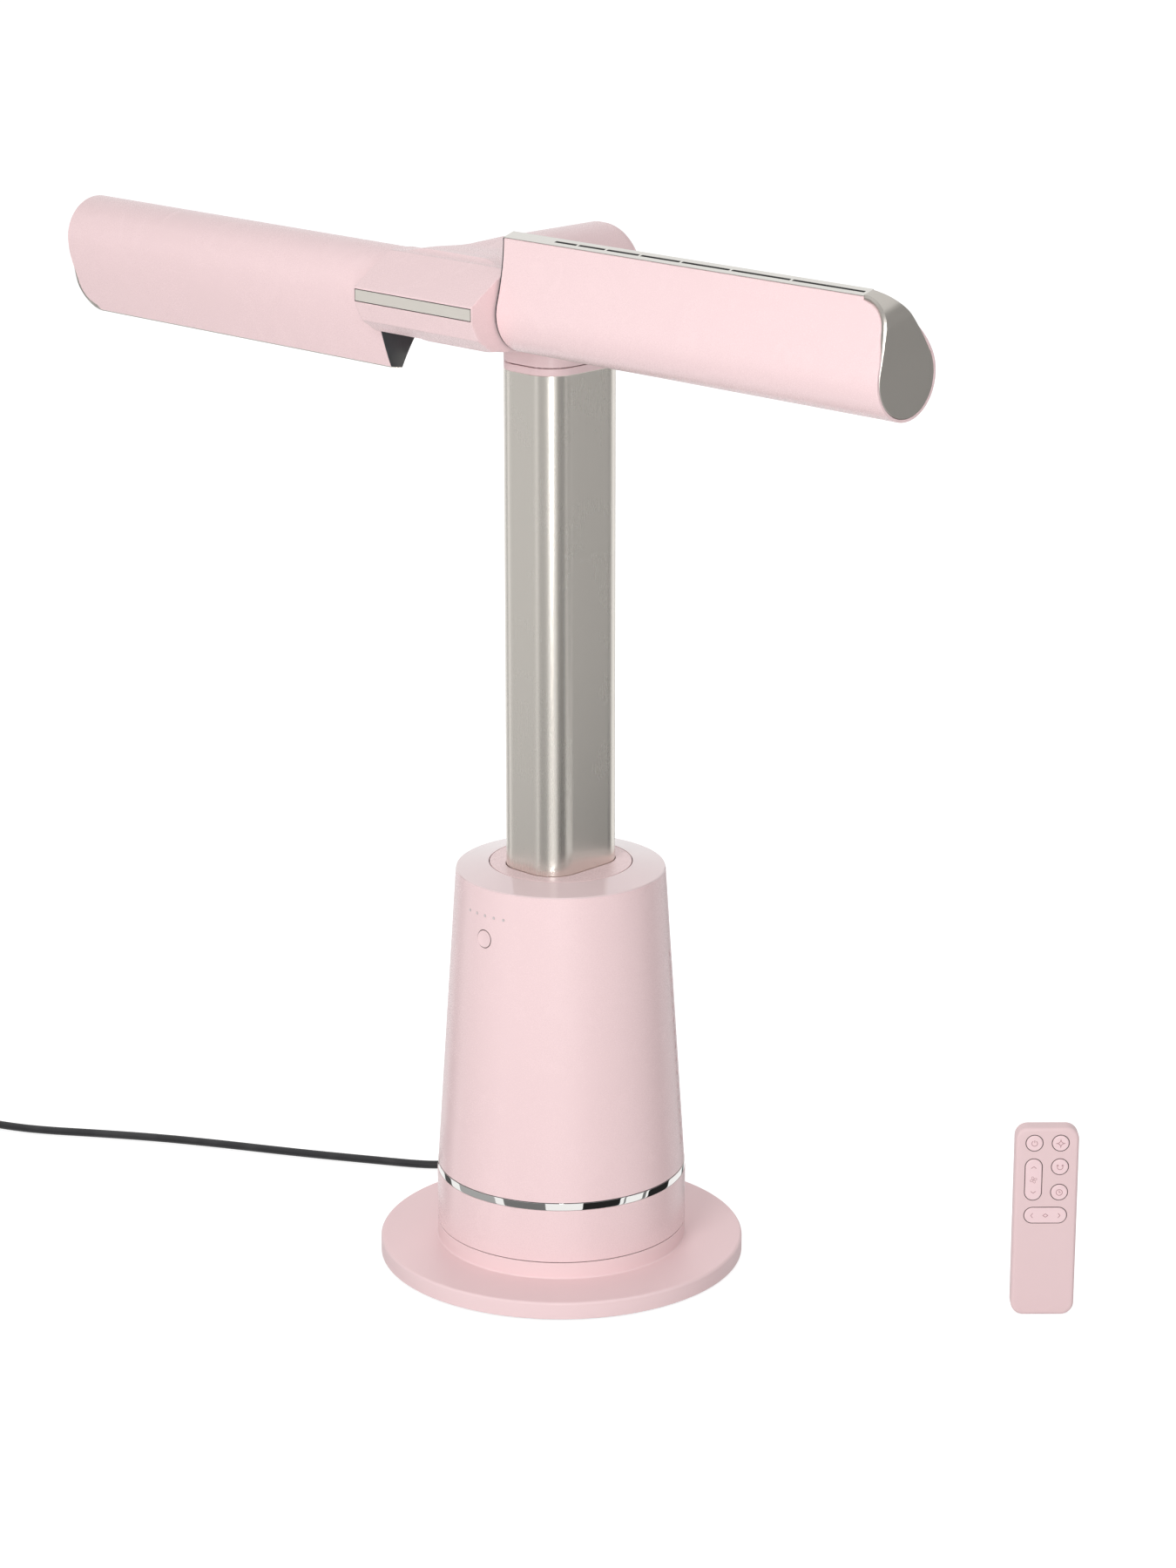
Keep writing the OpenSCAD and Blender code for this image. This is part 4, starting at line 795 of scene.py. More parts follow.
make("glossy_top_ring", *lathe(rounded(
    [(CAP_R, CAP[1].z - 5), (CAP_R - 0.5, CAP[1].z - 4.1), (COLLAR_R + 0.6, CAP[1].z), (COLLAR_R + 0.6,
        CAP[0].z + 3), (COLLAR_R - 6.9, CAP[0].z + 3),
     (COLLAR_R - 6.9, CAP[0].z), (COLLAR_R + 3, CAP[0].z), (COLLAR_R + 3, CAP[1].z - 6.5),
     (CAP_R - 2.5, CAP[1].z - 8), (CAP_R - 2.5, CAP[1].z - 5)],
    [0, 0.6, 0.35, 0, 0, 0, 0, 0, 0, 0], 5), 220), "tower", gloss_pink, ["top_cap"])
POLE_W, POLE_D, POLE_R = POLE[1].x * 2, POLE[1].y * 2, 22


def pole_line(grow, steps=14):
    return box_outline(POLE_W + 2 * grow, POLE_D + 2 * grow, POLE_R + grow, steps)


flat = lambda top: (lambda a, b, depth: (a, b, top - depth))
make("collar_round_pole", *pierced(
    [(circle_outline(COLLAR_R - 0.35, 160), 0), (circle_outline(COLLAR_R - 0.1, 160), 0.1),
     (circle_outline(COLLAR_R, 160), 0.35), (circle_outline(COLLAR_R, 160), 12)],
    [[(pole_line(1.0), 0), (pole_line(0.65), 0.15), (pole_line(0.5), 0.5), (pole_line(0.5), 12)]],
    flat(COLLAR[1].z)),
     "tower", satin_pink, ["pole_collar"])


def on_front(z, arc=0.0):
    """Places a shape made with its face up (+Z) on the body's front at height z."""
    return Matrix.Rotation(arc, 4, "Z") @ Matrix.Translation((0, -body_radius(z), z)) @ Matrix.Rotation(pi / 2
        - LEAN, 4, "X")


BUTTON_ROUND, DISH_R, DISH_DEEP = 0.4, 5.9, 0.35
dish = [(0.01, BUTTON_BACK), (BUTTON_R, BUTTON_BACK), (BUTTON_R, -0.1)]
dish += [(BUTTON_R - BUTTON_ROUND * (1 - cos(a)), -0.1 + BUTTON_ROUND * sin(a)) for a in np.linspace(0.3,
    pi / 2, 5)]
dish += [(r, 0.3 - DISH_DEEP * (1 - (r / DISH_R) ** 2)) for r in (DISH_R, 4.9, 3.9, 2.9, 1.9, 0.9, 0.01)]
make("power_push_button", *lathe(dish, 64), "button", satin_pink, ["power_button"], turn=on_front(BUTTON_Z),
     sharp=40)
# A near-black ring in the button's well: painted shade round the button.
shade_ring_in, shade_ring_out, shade_ring_top = 6.58, 7.08, -0.45
shade_ring_line = [(shade_ring_in, BUTTON_BACK), (shade_ring_out, BUTTON_BACK), (shade_ring_out, shade_ring_top),
               (shade_ring_in, shade_ring_top)]
make("button_well_painted_shade", *lathe(shade_ring_line, 64), "tower", line_shadow, turn=on_front(BUTTON_Z))

# ---------------------------------------------------------------- pole and neck

tube_rings = [(pole_line(-2.2), POLE[0].z), (pole_line(-0.3), POLE[0].z), (pole_line(0), POLE[0].z + 0.3),
              (pole_line(0), POLE[1].z - 0.25),
              (pole_line(-0.25), POLE[1].z), (pole_line(-2.2), POLE[1].z)]
make("champagne_pole", *loft([[(a, b, z) for a, b in ring] for ring, z in tube_rings], closed=True), "mast",
     pole_champagne, ["pole_tube"], sharp=40)
NECK = span("neck_collar")
neck_rings = [(pole_line(-4.2), NECK[1].z - 5.2), (pole_line(-0.35), NECK[1].z - 5.2), (pole_line(-0.05),
    NECK[1].z - 4.8),
              (pole_line(-0.05), NECK[1].z - 0.5), (pole_line(-0.45), NECK[1].z), (pole_line(-4.2),
                  NECK[1].z)]
make("neck_trim_collar", *loft([[(a, b, z) for a, b in ring] for ring, z in neck_rings], closed=True), "mast",
     satin_pink, ["neck_collar"], sharp=40)

# ------------------------------------------------ cast-like shapes of the head, from distance fields


def field_skin(field, low, high, step):
    """Vertices and quads where a distance field is zero, settled onto it."""
    axes = [np.arange(low[i], high[i] + step, step) for i in range(3)]
    grid = np.stack(np.meshgrid(*axes, indexing="ij"), -1)
    value = field(grid)
    nx, ny, nz = value.shape
    corners = [(a, b, c) for a in (0, 1) for b in (0, 1) for c in (0, 1)]
    at = lambda arr, k: arr[k[0]:nx - 1 + k[0], k[1]:ny - 1 + k[1], k[2]:nz - 1 + k[2]]
    inner = sum((at(value, k) < 0).astype(int) for k in corners)
    mixed = (inner > 0) & (inner < 8)
    total, hits = np.zeros(mixed.shape + (3,)), np.zeros(mixed.shape)
    for i, k in enumerate(corners):
        for m in corners[i + 1:]:
            if sum(abs(k[d] - m[d]) for d in range(3)) != 1:
                continue
            f0, f1 = at(value, k), at(value, m)
            cross = (f0 < 0) != (f1 < 0)
            t = np.where(cross, f0 / np.where(cross, f0 - f1, 1), 0)[..., None]
            total += np.where(cross[..., None], at(grid, k) * (1 - t) + at(grid, m) * t, 0)
            hits += cross
    number = -np.ones(mixed.shape, int)
    number[mixed] = np.arange(mixed.sum())
    verts = total[mixed] / hits[mixed][:, None]
    quads = []
    for d in range(3):
        u, v = (d + 1) % 3, (d + 2) % 3
        first = [slice(None)] * 3
        second = [slice(None)] * 3
        first[d], second[d] = slice(0, -1), slice(1, None)
        f0, f1 = value[tuple(first)], value[tuple(second)]
        where = np.argwhere((f0 < 0) != (f1 < 0))
        where = where[(where[:, u] > 0) & (where[:, v] > 0) & (where[:, u] < value.shape[u] - 1) & (where[:,
            v] < value.shape[v] - 1)]
        for cell in where:
            ring = []
            for du, dv in ((0, 0), (-1, 0), (-1, -1), (0, -1)):
                c = cell.copy()
                c[u] += du
                c[v] += dv
                ring.append(number[tuple(c)])
            quads.append(tuple(int(r) for r in (ring if value[tuple(cell)] < 0 else reversed(ring))))
    for _ in range(6):
        slope = field_slope(field, verts)
        length2 = np.maximum((slope ** 2).sum(-1), 0.05)
        verts = verts - np.clip(field(verts) / length2, -step / 2, step / 2)[:, None] * slope
    return verts, quads


def field_slope(field, points, h=0.02):
    return np.stack([(field(points + h * e) - field(points - h * e)) / (2 * h) for e in np.eye(3)], -1)


def shade_by_field(mesh, field):
    """Corner normals that follow the field wherever the face does; elsewhere those of the face."""
    points = np.array([v.co for v in mesh.vertices]) / MM
    slope = field_slope(field, points, 0.05)
    slope /= np.maximum(np.linalg.norm(slope, axis=1), 1e-9)[:, None]
    made = []
    for face in mesh.polygons:
        n = np.array(face.normal)
        for index in face.vertices:
            made.append(slope[index] if slope[index] @ n > 0.8 else n)
    mesh.normals_split_custom_set([tuple(m) for m in made])


def smooth_union(a, b, k):
    h = np.clip(0.5 + 0.5 * (b - a) / k, 0, 1)
    return b + (a - b) * h - k * h * (1 - h)


def round_meet(a, b, r):
    """Inside both, with the edge between them rounded."""
    return np.minimum(np.maximum(a + r, b + r), 0) + np.hypot(np.maximum(a + r, 0), np.maximum(b + r, 0)) - r


def polygon_field(x, y, points):
    """Signed distance to a polygon."""
    best, sign = np.full(x.shape, 1e9), np.ones(x.shape)
    for (x0, y0), (x1, y1) in zip(points, points[1:] + points[:1]):
        ex, ey, wx, wy = x1 - x0, y1 - y0, x - x0, y - y0
        t = np.clip((wx * ex + wy * ey) / (ex * ex + ey * ey), 0, 1)
        best = np.minimum(best, (wx - ex * t) ** 2 + (wy - ey * t) ** 2)
        a, b, c = y >= y0, y < y1, ex * wy > ey * wx
        sign = np.where((a & b & c) | (~a & ~b & ~c), -sign, sign)
    return sign * np.sqrt(best)


AXIS_Z = next(j["pos_m"][2] for j in frame["joints"] if j["name"] == "right_arm_twist") / MM
ARM_Y = -next(j["pos_m"][1] for j in frame["joints"] if j["name"] == "right_arm_twist") / MM
HUB, ELBOW, BACK_CAP = span("hub_shell"), span("neck_elbow"), span("rear_cap")
HUB_HALF, PIPE_R, BARREL_R = HUB[1].x, 30.4, ELBOW[1].x
PIVOT_BACK, NOSE = HUB[1].y, -HUB[0].y - ARM_Y
WINDOW = span("display_window")


ARM_BORE_R, ARM_BORE_DEEP = 25.15, 13.5
PIVOT_BORE_R, PIVOT_BORE_DEEP = 26.1, 18


def hub_outline():
    arc = [(PIPE_R * cos(radians(a)), PIPE_R * sin(radians(a))) for a in np.linspace(-104, 88, 40)]
    return [(-NOSE, 8), (-NOSE, -3.5), (-NOSE + 7, -17), (-NOSE + 20, -26)] + arc + [(-17, PIPE_R)]


HUB_LINE = hub_outline()


def hub_field(p):
    x, y, z = p[..., 0], p[..., 1] + ARM_Y, p[..., 2] - AXIS_Z
    bar = round_meet(polygon_field(y, z, HUB_LINE), np.abs(x) - HUB_HALF, 0.9)
    share = np.clip((PIVOT_BACK + ARM_Y - y) / (PIVOT_BACK + ARM_Y), 0, 1)
    half_w, half_h = BARREL_R + (44 - BARREL_R) * share, BARREL_R + (PIPE_R - BARREL_R) * share
    corner = BARREL_R + (16 - BARREL_R) * share
    qx, qz = np.abs(x) - (half_w - corner), np.abs(z) - (half_h - corner)
    section = np.hypot(np.maximum(qx, 0), np.maximum(qz, 0)) + np.minimum(np.maximum(qx, qz), 0) - corner
    neck = np.maximum(section, -y - 6)
    whole = smooth_union(bar, neck, 13.0)
    whole = round_meet(whole, p[..., 1] - PIVOT_BACK, 0.45)
    sides = np.abs(x) - HUB_HALF
    whole = round_meet(whole, sides, 0.6)
    bores = np.maximum(np.hypot(y, z) - ARM_BORE_R, -(np.abs(x) - (HUB_HALF - ARM_BORE_DEEP)))
    seat = np.maximum(np.hypot(x, z) - PIVOT_BORE_R, -(p[..., 1] - (PIVOT_BACK - PIVOT_BORE_DEEP)))
    return np.maximum(np.maximum(whole, -bores), -seat)


def elbow_field(p):
    x, y, z = p[..., 0], p[..., 1], p[..., 2] - AXIS_Z
    front, back = ELBOW[0].y, BACK_CAP[1].y - 4.2
    barrel = np.hypot(x, z) - BARREL_R
    qx, qy = np.abs(x) - (POLE_W / 2 - POLE_R), np.abs(y) - (POLE_D / 2 - POLE_R)
    stem = np.hypot(np.maximum(qx, 0), np.maximum(qy, 0)) + np.minimum(np.maximum(qx, qy), 0) - POLE_R
    stem = np.maximum(stem, z)
    whole = smooth_union(barrel, stem, 7.0)
    whole = round_meet(whole, np.abs(y - (front + back) / 2) - (back - front) / 2, 0.45)
    whole = round_meet(whole, (NECK[1].z + 0.3 - AXIS_Z) - z, 0.45)
    return np.maximum(whole, -np.maximum(np.hypot(x, z) - PIVOT_BORE_R, y - (front + 6)))


def cast_piece(name, field, low, high, step, body, material, replaces):
    verts, faces = field_skin(field, low, high, step)
    piece = make(name, [tuple(v) for v in verts], faces, body, material, replaces, sharp=180)
    piece.modifiers.clear()
    return piece


hub_skin = cast_piece("hub_with_nose", hub_field, (-HUB_HALF - 3, HUB[0].y - 3, AXIS_Z - BARREL_R - 3),
                      (HUB_HALF + 3, PIVOT_BACK + 3, AXIS_Z + BARREL_R + 3), 1.35, "head", satin_pink,
                      ["hub_shell"])
recess_verts, recess_faces = loft([[(a, y, b) for a, b in [(WINDOW[0].x - 0.1, WINDOW[0].z - 0.15),
                                                           (WINDOW[1].x + 0.1, WINDOW[0].z - 0.15),
                                                         (WINDOW[1].x + 0.1, WINDOW[1].z + 0.15),
                                                         (WINDOW[0].x - 0.1, WINDOW[1].z + 0.15)]]
                                   for y in (HUB[0].y - 2, HUB[0].y + 2.2)])
cutter_mesh = bpy.data.meshes.new("recess cutter")
cutter_mesh.from_pydata([Vector(v) * MM for v in recess_verts], [], recess_faces)
cutter = bpy.data.objects.new("recess cutter", cutter_mesh)
bpy.context.scene.collection.objects.link(cutter)
cutting = bmesh.new()
cutting.from_mesh(cutter_mesh)
bmesh.ops.recalc_face_normals(cutting, faces=cutting.faces)
cutting.to_mesh(cutter_mesh)
cutting.free()
cut = hub_skin.modifiers.new("recess", "BOOLEAN")
cut.operation, cut.object, cut.solver = "DIFFERENCE", cutter, "EXACT"
bpy.context.view_layer.update()
settled = bpy.data.meshes.new_from_object(hub_skin.evaluated_get(bpy.context.evaluated_depsgraph_get()))
hub_skin.modifiers.clear()
settled.materials.clear()
settled.materials.append(satin_pink)
hub_skin.data = settled
bpy.data.objects.remove(cutter)
shade_by_field(hub_skin.data, hub_field)
elbow_skin = cast_piece("neck_elbow_housing", elbow_field, (-BARREL_R - 3, ELBOW[0].y - 3, NECK[1].z - 3),
                        (BARREL_R + 3, BACK_CAP[1].y + 1, AXIS_Z + BARREL_R + 3), 1.5, "mast", satin_pink,
                        ["neck_elbow"])
shade_by_field(elbow_skin.data, elbow_field)

cap_profile = rounded([(0.01, 0), (38.0, 0), (38.0, 4.0), (0.01, 4.0)], [0, 0.2, 1.6, 0], 6)
make("barrel_rear_cap", *lathe(cap_profile, 128), "mast", satin_pink, ["rear_cap"],
     turn=Matrix.Translation((0, BACK_CAP[1].y - 4.0, AXIS_Z)) @ Matrix.Rotation(radians(-90), 4, "X"))

facing_front = lambda y_face: (lambda a, b, depth: (a, y_face + depth, b))
window_mid = ((WINDOW[0].x + WINDOW[1].x) / 2, (WINDOW[0].z + WINDOW[1].z) / 2)
window_w, window_h = WINDOW[1].x - WINDOW[0].x, WINDOW[1].z - WINDOW[0].z


def window_line(grow, corner=0.5):
    return [(a + window_mid[0], b + window_mid[1]) for a, b in box_outline(window_w + 2 * grow,
        window_h + 2 * grow, corner, 4)]


make("display_panel", *pierced([(window_line(-0.75), 0), (window_line(-0.55), 0.08), (window_line(-0.5), 0.3),
                                (window_line(-0.5), 1.9)], [],
                               facing_front(WINDOW[0].y + 0.02)), "head", display_grey, ["display_window"])
# A near-black frame behind the display's edge: painted shade round the panel.
make("display_painted_shade", *pierced([(window_line(0.02), 0), (window_line(0.02), 1.6)],
                                [[(window_line(-0.48), 0), (window_line(-0.48), 1.6)]],
                                facing_front(WINDOW[0].y + 0.3)), "head", line_shadow)

# ---------------------------------------------------------------- arms

ARM_IN, ARM_OUT = 60.25, span("right_end_cap")[1].x
BULB_R, SHOULDER, TIP, TIP_W, ARM_WALL = 29.6, 56.8, 57.5, 11, 2.2
ROOT_T, CORNER_R = 1.2, 20
CORNER_X, CORNER_H = ARM_OUT - CORNER_R, TIP - CORNER_R
REAR_ANGLE, FRONT_ANGLE = 15, 150
RIGHT_REST, LEFT_REST = radians(16.6), radians(170)
place_right = Matrix.Translation((0, -ARM_Y, AXIS_Z)) @ Matrix.Rotation(RIGHT_REST, 4, "X")
place_left = Matrix.Translation((0, -ARM_Y, AXIS_Z)) @ Matrix.Rotation(LEFT_REST, 4,
    "X") @ Matrix.Diagonal((-1, 1, 1, 1))


def polar(radius, angle):
    return Vector((radius * cos(radians(angle)), radius * sin(radians(angle))))


def bend(a, b, c, t):
    return (1 - t) ** 2 * a + 2 * t * (1 - t) * b + t * t * c


def arm_section(inset, bulb_steps=64, flank_steps=18):
    """From the front shoulder down the hollow flank, round the bulb and up the full flank, in (y, h)."""
    r = BULB_R - inset
    front, rear = polar(r, FRONT_ANGLE), polar(r, REAR_ANGLE)
    front_pull = Vector((-0.39 * BULB_R + inset, 0.64 * TIP))
    rear_pull = Vector((0.77 * BULB_R - inset, 0.51 * TIP))
    front_top, rear_top = Vector((-TIP_W / 2 + inset, SHOULDER)), Vector((TIP_W / 2 - inset, SHOULDER))
    down = [bend(front_top, front_pull, front, i / flank_steps) for i in range(flank_steps)]
    sweep = 360 + REAR_ANGLE - FRONT_ANGLE
    round_side = [polar(r, FRONT_ANGLE + sweep * i / bulb_steps) for i in range(bulb_steps)]
    up = [bend(rear, rear_pull, rear_top, i / flank_steps) for i in range(flank_steps + 1)]
    return down + round_side + up


def shell_end(h):
    """Where the pink shell stops: full length low down, drawn in around the metal corner."""
    reach = CORNER_R - 3.5
    if h >= CORNER_H:
        return CORNER_X + sqrt(max(0.0, reach ** 2 - min(h - CORNER_H, reach) ** 2))
    return CORNER_X + reach + (ARM_OUT - 0.4 - CORNER_X - reach) * ease(CORNER_H - h, 0, 24)


def arm_shell(prefix, body, place):
    stations = [("in", 0.0, 0.35), ("in", 0.1, 0.1), ("in", 0.35, 0.0)]
    stations += [("along", t, 0.0) for t in np.linspace(0.03, 0.97, 14)]
    stations += [("out", -0.55, 0.0), ("out", -0.16, 0.13), ("out", 0.0, 0.5)]
    sections = {}
    rows = []
    for kind, where, tuck in stations:
        for inset in (tuck, ARM_WALL - min(tuck, 0.3)):
            if inset not in sections:
                sections[inset] = arm_section(inset)
        row = []
        for inset in (tuck, ARM_WALL - min(tuck, 0.3)):
            for y, h in sections[inset]:
                first, last = ARM_IN + ROOT_T, shell_end(h)
                x = first + where if kind == "in" else last + where if kind == "out" else first + (last
                    - first) * where
                row.append((x, y, h))
        rows.append(row)
    half, total = len(rows[0]) // 2, len(rows[0])
    verts = [p for row in rows for p in row]
    faces = []
    for j in range(len(rows) - 1):
        a, b = j * total, (j + 1) * total
        for i in range(half - 1):
            faces.append((a + i, a + i + 1, b + i + 1, b + i))
            faces.append((a + half + i, b + half + i, b + half + i + 1, a + half + i + 1))
        for i in (0, half - 1):
            faces.append((a + i, b + i, b + half + i, a + half + i))
    for a in (0, (len(rows) - 1) * total):
        faces += [(a + i, a + i + 1, a + half + i + 1, a + half + i) for i in range(half - 1)]
    make(prefix + "_arm_casing", verts, faces, body, satin_pink, [prefix + "_arm_shell"], sharp=30,
         turn=place)


def end_path():
    """Stations round the end cap: (x, h, inward x, inward h) from the bottom of the bulb to the strip."""
    low = -(BULB_R - ARM_WALL - 0.15)
    heights = [low + (BULB_R - ARM_WALL) * (1 - cos(a)) + 0.02 for a in np.linspace(0.04, pi / 2, 22)]
    heights += list(np.linspace(heights[-1] + 2, CORNER_H, 20))
    path = [(ARM_OUT, h, -1, 0) for h in heights]
    for a in np.linspace(0, pi / 2, 22)[1:]:
        path.append((CORNER_X + CORNER_R * cos(a), CORNER_H + CORNER_R * sin(a), -cos(a), -sin(a)))
    return path


def across(section, h):
    """Front and rear edge of a section at height h."""
    h = min(h, SHOULDER - 1e-4)
    hits = []
    for (y0, h0), (y1, h1) in zip(section, section[1:]):
        if (h0 > h) != (h1 > h):
            hits.append(y0 + (y1 - y0) * (h - h0) / (h1 - h0))
    return (min(hits), max(hits)) if len(hits) > 1 else (0.0, 0.0)


def end_cap(prefix, body, place):
    rings = []
    for x, h, nx, nh in end_path():
        rise = ease(h, 8, 44)
        inset = ARM_WALL + 0.15 - (ARM_WALL + 0.0) * rise
        front, rear = across(arm_section(inset, 90, 30), h)
        width = rear - front
        edge = min(0.3 + 1.1 * rise, 0.4 * width)
        sink = 0.35 * (1 - rise)
        spots = [(front + 0.02, 3.4), (front, 3.2), (front, sink + edge), (front + edge * 0.5,
            sink + edge * 0.5), (front + edge, sink)]
        middle = [(front + edge + (width - 2 * edge) * t, sink) for t in (0.25, 0.5, 0.75)]
        spots = spots + middle + [(front + rear - y, depth) for y, depth in reversed(spots)]
        rings.append([(x + nx * depth, y, h + nh * depth) for y, depth in spots])
    verts, faces = loft(rings)
    make(prefix + "_metal_end", verts, faces, body, cap_taupe, [prefix + "_end_cap"], sharp=26, turn=place)


SLOT_W, SLOT_RIB, SLOT_TOTAL, SLOT_FIRST, SLOT_GROWTH = 2.2, 1.8, 7, 20.745, 1.2
SLOTS = []
slot_x = ARM_IN + 46
for i in range(SLOT_TOTAL):
    SLOTS.append((slot_x, slot_x + SLOT_FIRST * SLOT_GROWTH ** i))
    slot_x = SLOTS[-1][1] + SLOT_RIB


def strip_level(tuck_side, tuck_end):
    return [(ARM_IN + 0.4 + tuck_end, -TIP_W / 2 + tuck_side), (CORNER_X, -TIP_W / 2 + tuck_side),
            (CORNER_X, TIP_W / 2 - tuck_side), (ARM_IN + 0.4 + tuck_end, TIP_W / 2 - tuck_side)]


def slot_strip(prefix, body, place):
    web = 2.35
    levels = [(strip_level(0.42, 0.35), 0), (strip_level(0.32, 0.3), 0.03), (strip_level(0.25, 0.1), 0.12),
              (strip_level(0.25, 0.1), 0.3),
              (strip_level(0.7, 0.3), 0.32), (strip_level(0.7, 0.3), TIP - SHOULDER), (strip_level(web, 1.2),
                  TIP - SHOULDER),
              (strip_level(web, 1.2), 11)]
    slots = [chamfered_hole(lambda grow, s=s: rounded([(s[0] - grow, -SLOT_W / 2 - grow),
                                                       (s[1] + grow, -SLOT_W / 2 - grow),
                                                       (s[1] + grow, SLOT_W / 2 + grow),
                                                       (s[0] - grow,
                                                        SLOT_W / 2 + grow)], 0.5 + grow, 3), 11, 0.18)
             for s in SLOTS]
    on_top = lambda a, b, depth: (a, b, TIP - depth)
    make(prefix + "_outlet_strip", *pierced(levels, slots, on_top), body, strip_silver,
         [prefix + "_slot_strip"], sharp=24, turn=place)
    verts, faces = [], []
    # Near-black sheets down each slot's walls below 0.5 mm: painted shade inside the slots.
    for start, end in SLOTS:
        slot_shade_wall = lambda tuck: rounded([(start + tuck, -SLOT_W / 2 + tuck), (end - tuck, -SLOT_W / 2 + tuck),
                                       (end - tuck, SLOT_W / 2 - tuck),
                                       (start + tuck, SLOT_W / 2 - tuck)], 0.45, 3)
        v, f = pierced([(slot_shade_wall(0.03), 0.5), (slot_shade_wall(0.03), 10.5)],
                       [[(slot_shade_wall(0.3), 0.5), (slot_shade_wall(0.3), 10.5)]], on_top)
        add_shape(verts, faces, v, f)
    make(prefix + "_slot_painted_shade", verts, faces, body, plain_dark, turn=place)


def arm_root(prefix, body, place):
    def plate(inset):
        return [tuple(p) for p in arm_section(inset, 48, 14)]
    bore = 19.0
    verts, faces = pierced([(plate(0.5), 0), (plate(0.34), 0.08), (plate(0.3), 0.25),
                            (plate(0.3), ROOT_T - 0.25), (plate(0.34), ROOT_T - 0.08), (plate(0.5), ROOT_T)],
                           [[(circle_outline(bore + 0.3, 72), 0), (circle_outline(bore, 72), 0.3),
                             (circle_outline(bore, 72), ROOT_T)]],
                           lambda a, b, depth: (ARM_IN + ROOT_T - depth, a, b))
    tube, tube_faces = lathe(rounded([(bore, ARM_IN - 14), (22, ARM_IN - 14), (22, ARM_IN + 0.1),
                                      (bore, ARM_IN + 0.1)], [0.3, 0.6, 0, 0], 4), 96)
    turned = Matrix.Rotation(pi / 2, 4, "Y")
    add_shape(verts, faces, [tuple(turned @ Vector(p)) for p in tube], tube_faces)
    make(prefix + "_root_plate", verts, faces, body, gloss_black, [prefix + "_root"], turn=place)


for prefix, body, place in (("right", "right_arm", place_right), ("left", "left_arm", place_left)):
    arm_shell(prefix, body, place)
    end_cap(prefix, body, place)
    slot_strip(prefix, body, place)
    arm_root(prefix, body, place)

# ---------------------------------------------------------------- remote control

REMOTE_W, REMOTE_H, REMOTE_T, REMOTE_WALL, REMOTE_CORNER = 47, 150, 14, 1.8, 9.5
REMOTE_TURN = radians(44.5)
remote_box = span("remote_back")
remote_front_box = span("remote_front")
remote_middle = [(min(a[0][i] for a in (remote_box, remote_front_box)) + max(a[1][i] for a in (remote_box,
    remote_front_box))) / 2 for i in (0, 1)]
place_remote = Matrix.Translation((*remote_middle, 0)) @ Matrix.Rotation(REMOTE_TURN, 4, "Z")
EDGE = 2.6
KEY_D, KEY_GAP, KEY_PROUD = 12.2, 0.5, 0.6


def remote_outline(inset):
    return [(a, b + REMOTE_H / 2) for a, b in box_outline(REMOTE_W - 2 * inset, REMOTE_H - 2 * inset,
                                                          REMOTE_CORNER - inset, 12)]


def round_key(x, share):
    return lambda grow: circle_outline(KEY_D / 2 + grow, 56, (x, REMOTE_H * share))


def pill_key(x, share, width, height):
    return lambda grow: stadium(width + 2 * grow, height + 2 * grow, 28, (x, REMOTE_H * share))


# across from the middle, and up as a share of the remote's height
KEY_PLACES = {"power_key": (-9.7, 0.92), "boost_key": (9.7, 0.92), "swing_key": (9.7, 0.795),
              "timer_key": (9.7, 0.66),
              "speed_key": (-9.7, 0.727), "twist_key": (0, 0.537)}
KEYS = {"power_key": (round_key(*KEY_PLACES["power_key"]), "remote_power"),
        "boost_key": (round_key(*KEY_PLACES["boost_key"]), "remote_boost"),
        "swing_key": (round_key(*KEY_PLACES["swing_key"]), "remote_swing"),
        "timer_key": (round_key(*KEY_PLACES["timer_key"]), "remote_timer"),
        "speed_key": (pill_key(*KEY_PLACES["speed_key"], KEY_D, 32.5), "remote_speed"),
        "twist_key": (pill_key(*KEY_PLACES["twist_key"], 31.4, KEY_D), "remote_twist")}
FACE = -REMOTE_T / 2
toward_front = lambda a, b, depth: (a, FACE + depth, b)
toward_back = lambda a, b, depth: (a, -FACE - depth, b)


def half_shell(depth):
    steps = [(EDGE * (1 - sin(t)), EDGE * (1 - cos(t))) for t in np.linspace(0, pi / 2, 9)]
    return [(remote_outline(i), d) for i, d in steps] + [(remote_outline(0), depth - 0.25),
                                                         (remote_outline(0.2), depth),
            (remote_outline(REMOTE_WALL), depth), (remote_outline(REMOTE_WALL), REMOTE_WALL)]


openings = [chamfered_hole(lambda grow, k=k: k(KEY_GAP + grow), REMOTE_WALL, 0.2) for k, _ in KEYS.values()]
make("remote_front_shell", *pierced(half_shell(REMOTE_T / 2 - 0.03), openings, toward_front), "remote",
     remote_pink, ["remote_front"],
     sharp=24, turn=place_remote)
make("remote_back_shell", *pierced(half_shell(REMOTE_T / 2 - 0.03), [], toward_back), "remote", remote_pink,
     ["remote_back"],
     sharp=24, turn=place_remote)
# Near-black rings in the gaps round the keys: painted shade.
key_shade_verts, key_shade_faces = [], []
for key_outline, _ in KEYS.values():
    v, f = pierced([(key_outline(KEY_GAP - 0.03), 0.12), (key_outline(KEY_GAP - 0.03), 1.6)],
                   [[(key_outline(0.04), 0.12), (key_outline(0.04), 1.6)]], toward_front)
    add_shape(key_shade_verts, key_shade_faces, v, f)
make("remote_key_painted_shade", key_shade_verts, key_shade_faces, "remote", line_shadow, turn=place_remote)
for node, (key_outline, body) in KEYS.items():
    levels = [(key_outline(-0.85 * (1 - sin(t))), 0.85 * (1 - cos(t)) - KEY_PROUD) for t in np.linspace(0,
        pi / 2, 7)]
    levels.append((key_outline(0), 3.0))
    make("soft_" + node, *pierced(levels, [], toward_front), body, key_pink, [node], sharp=24,
         turn=place_remote)


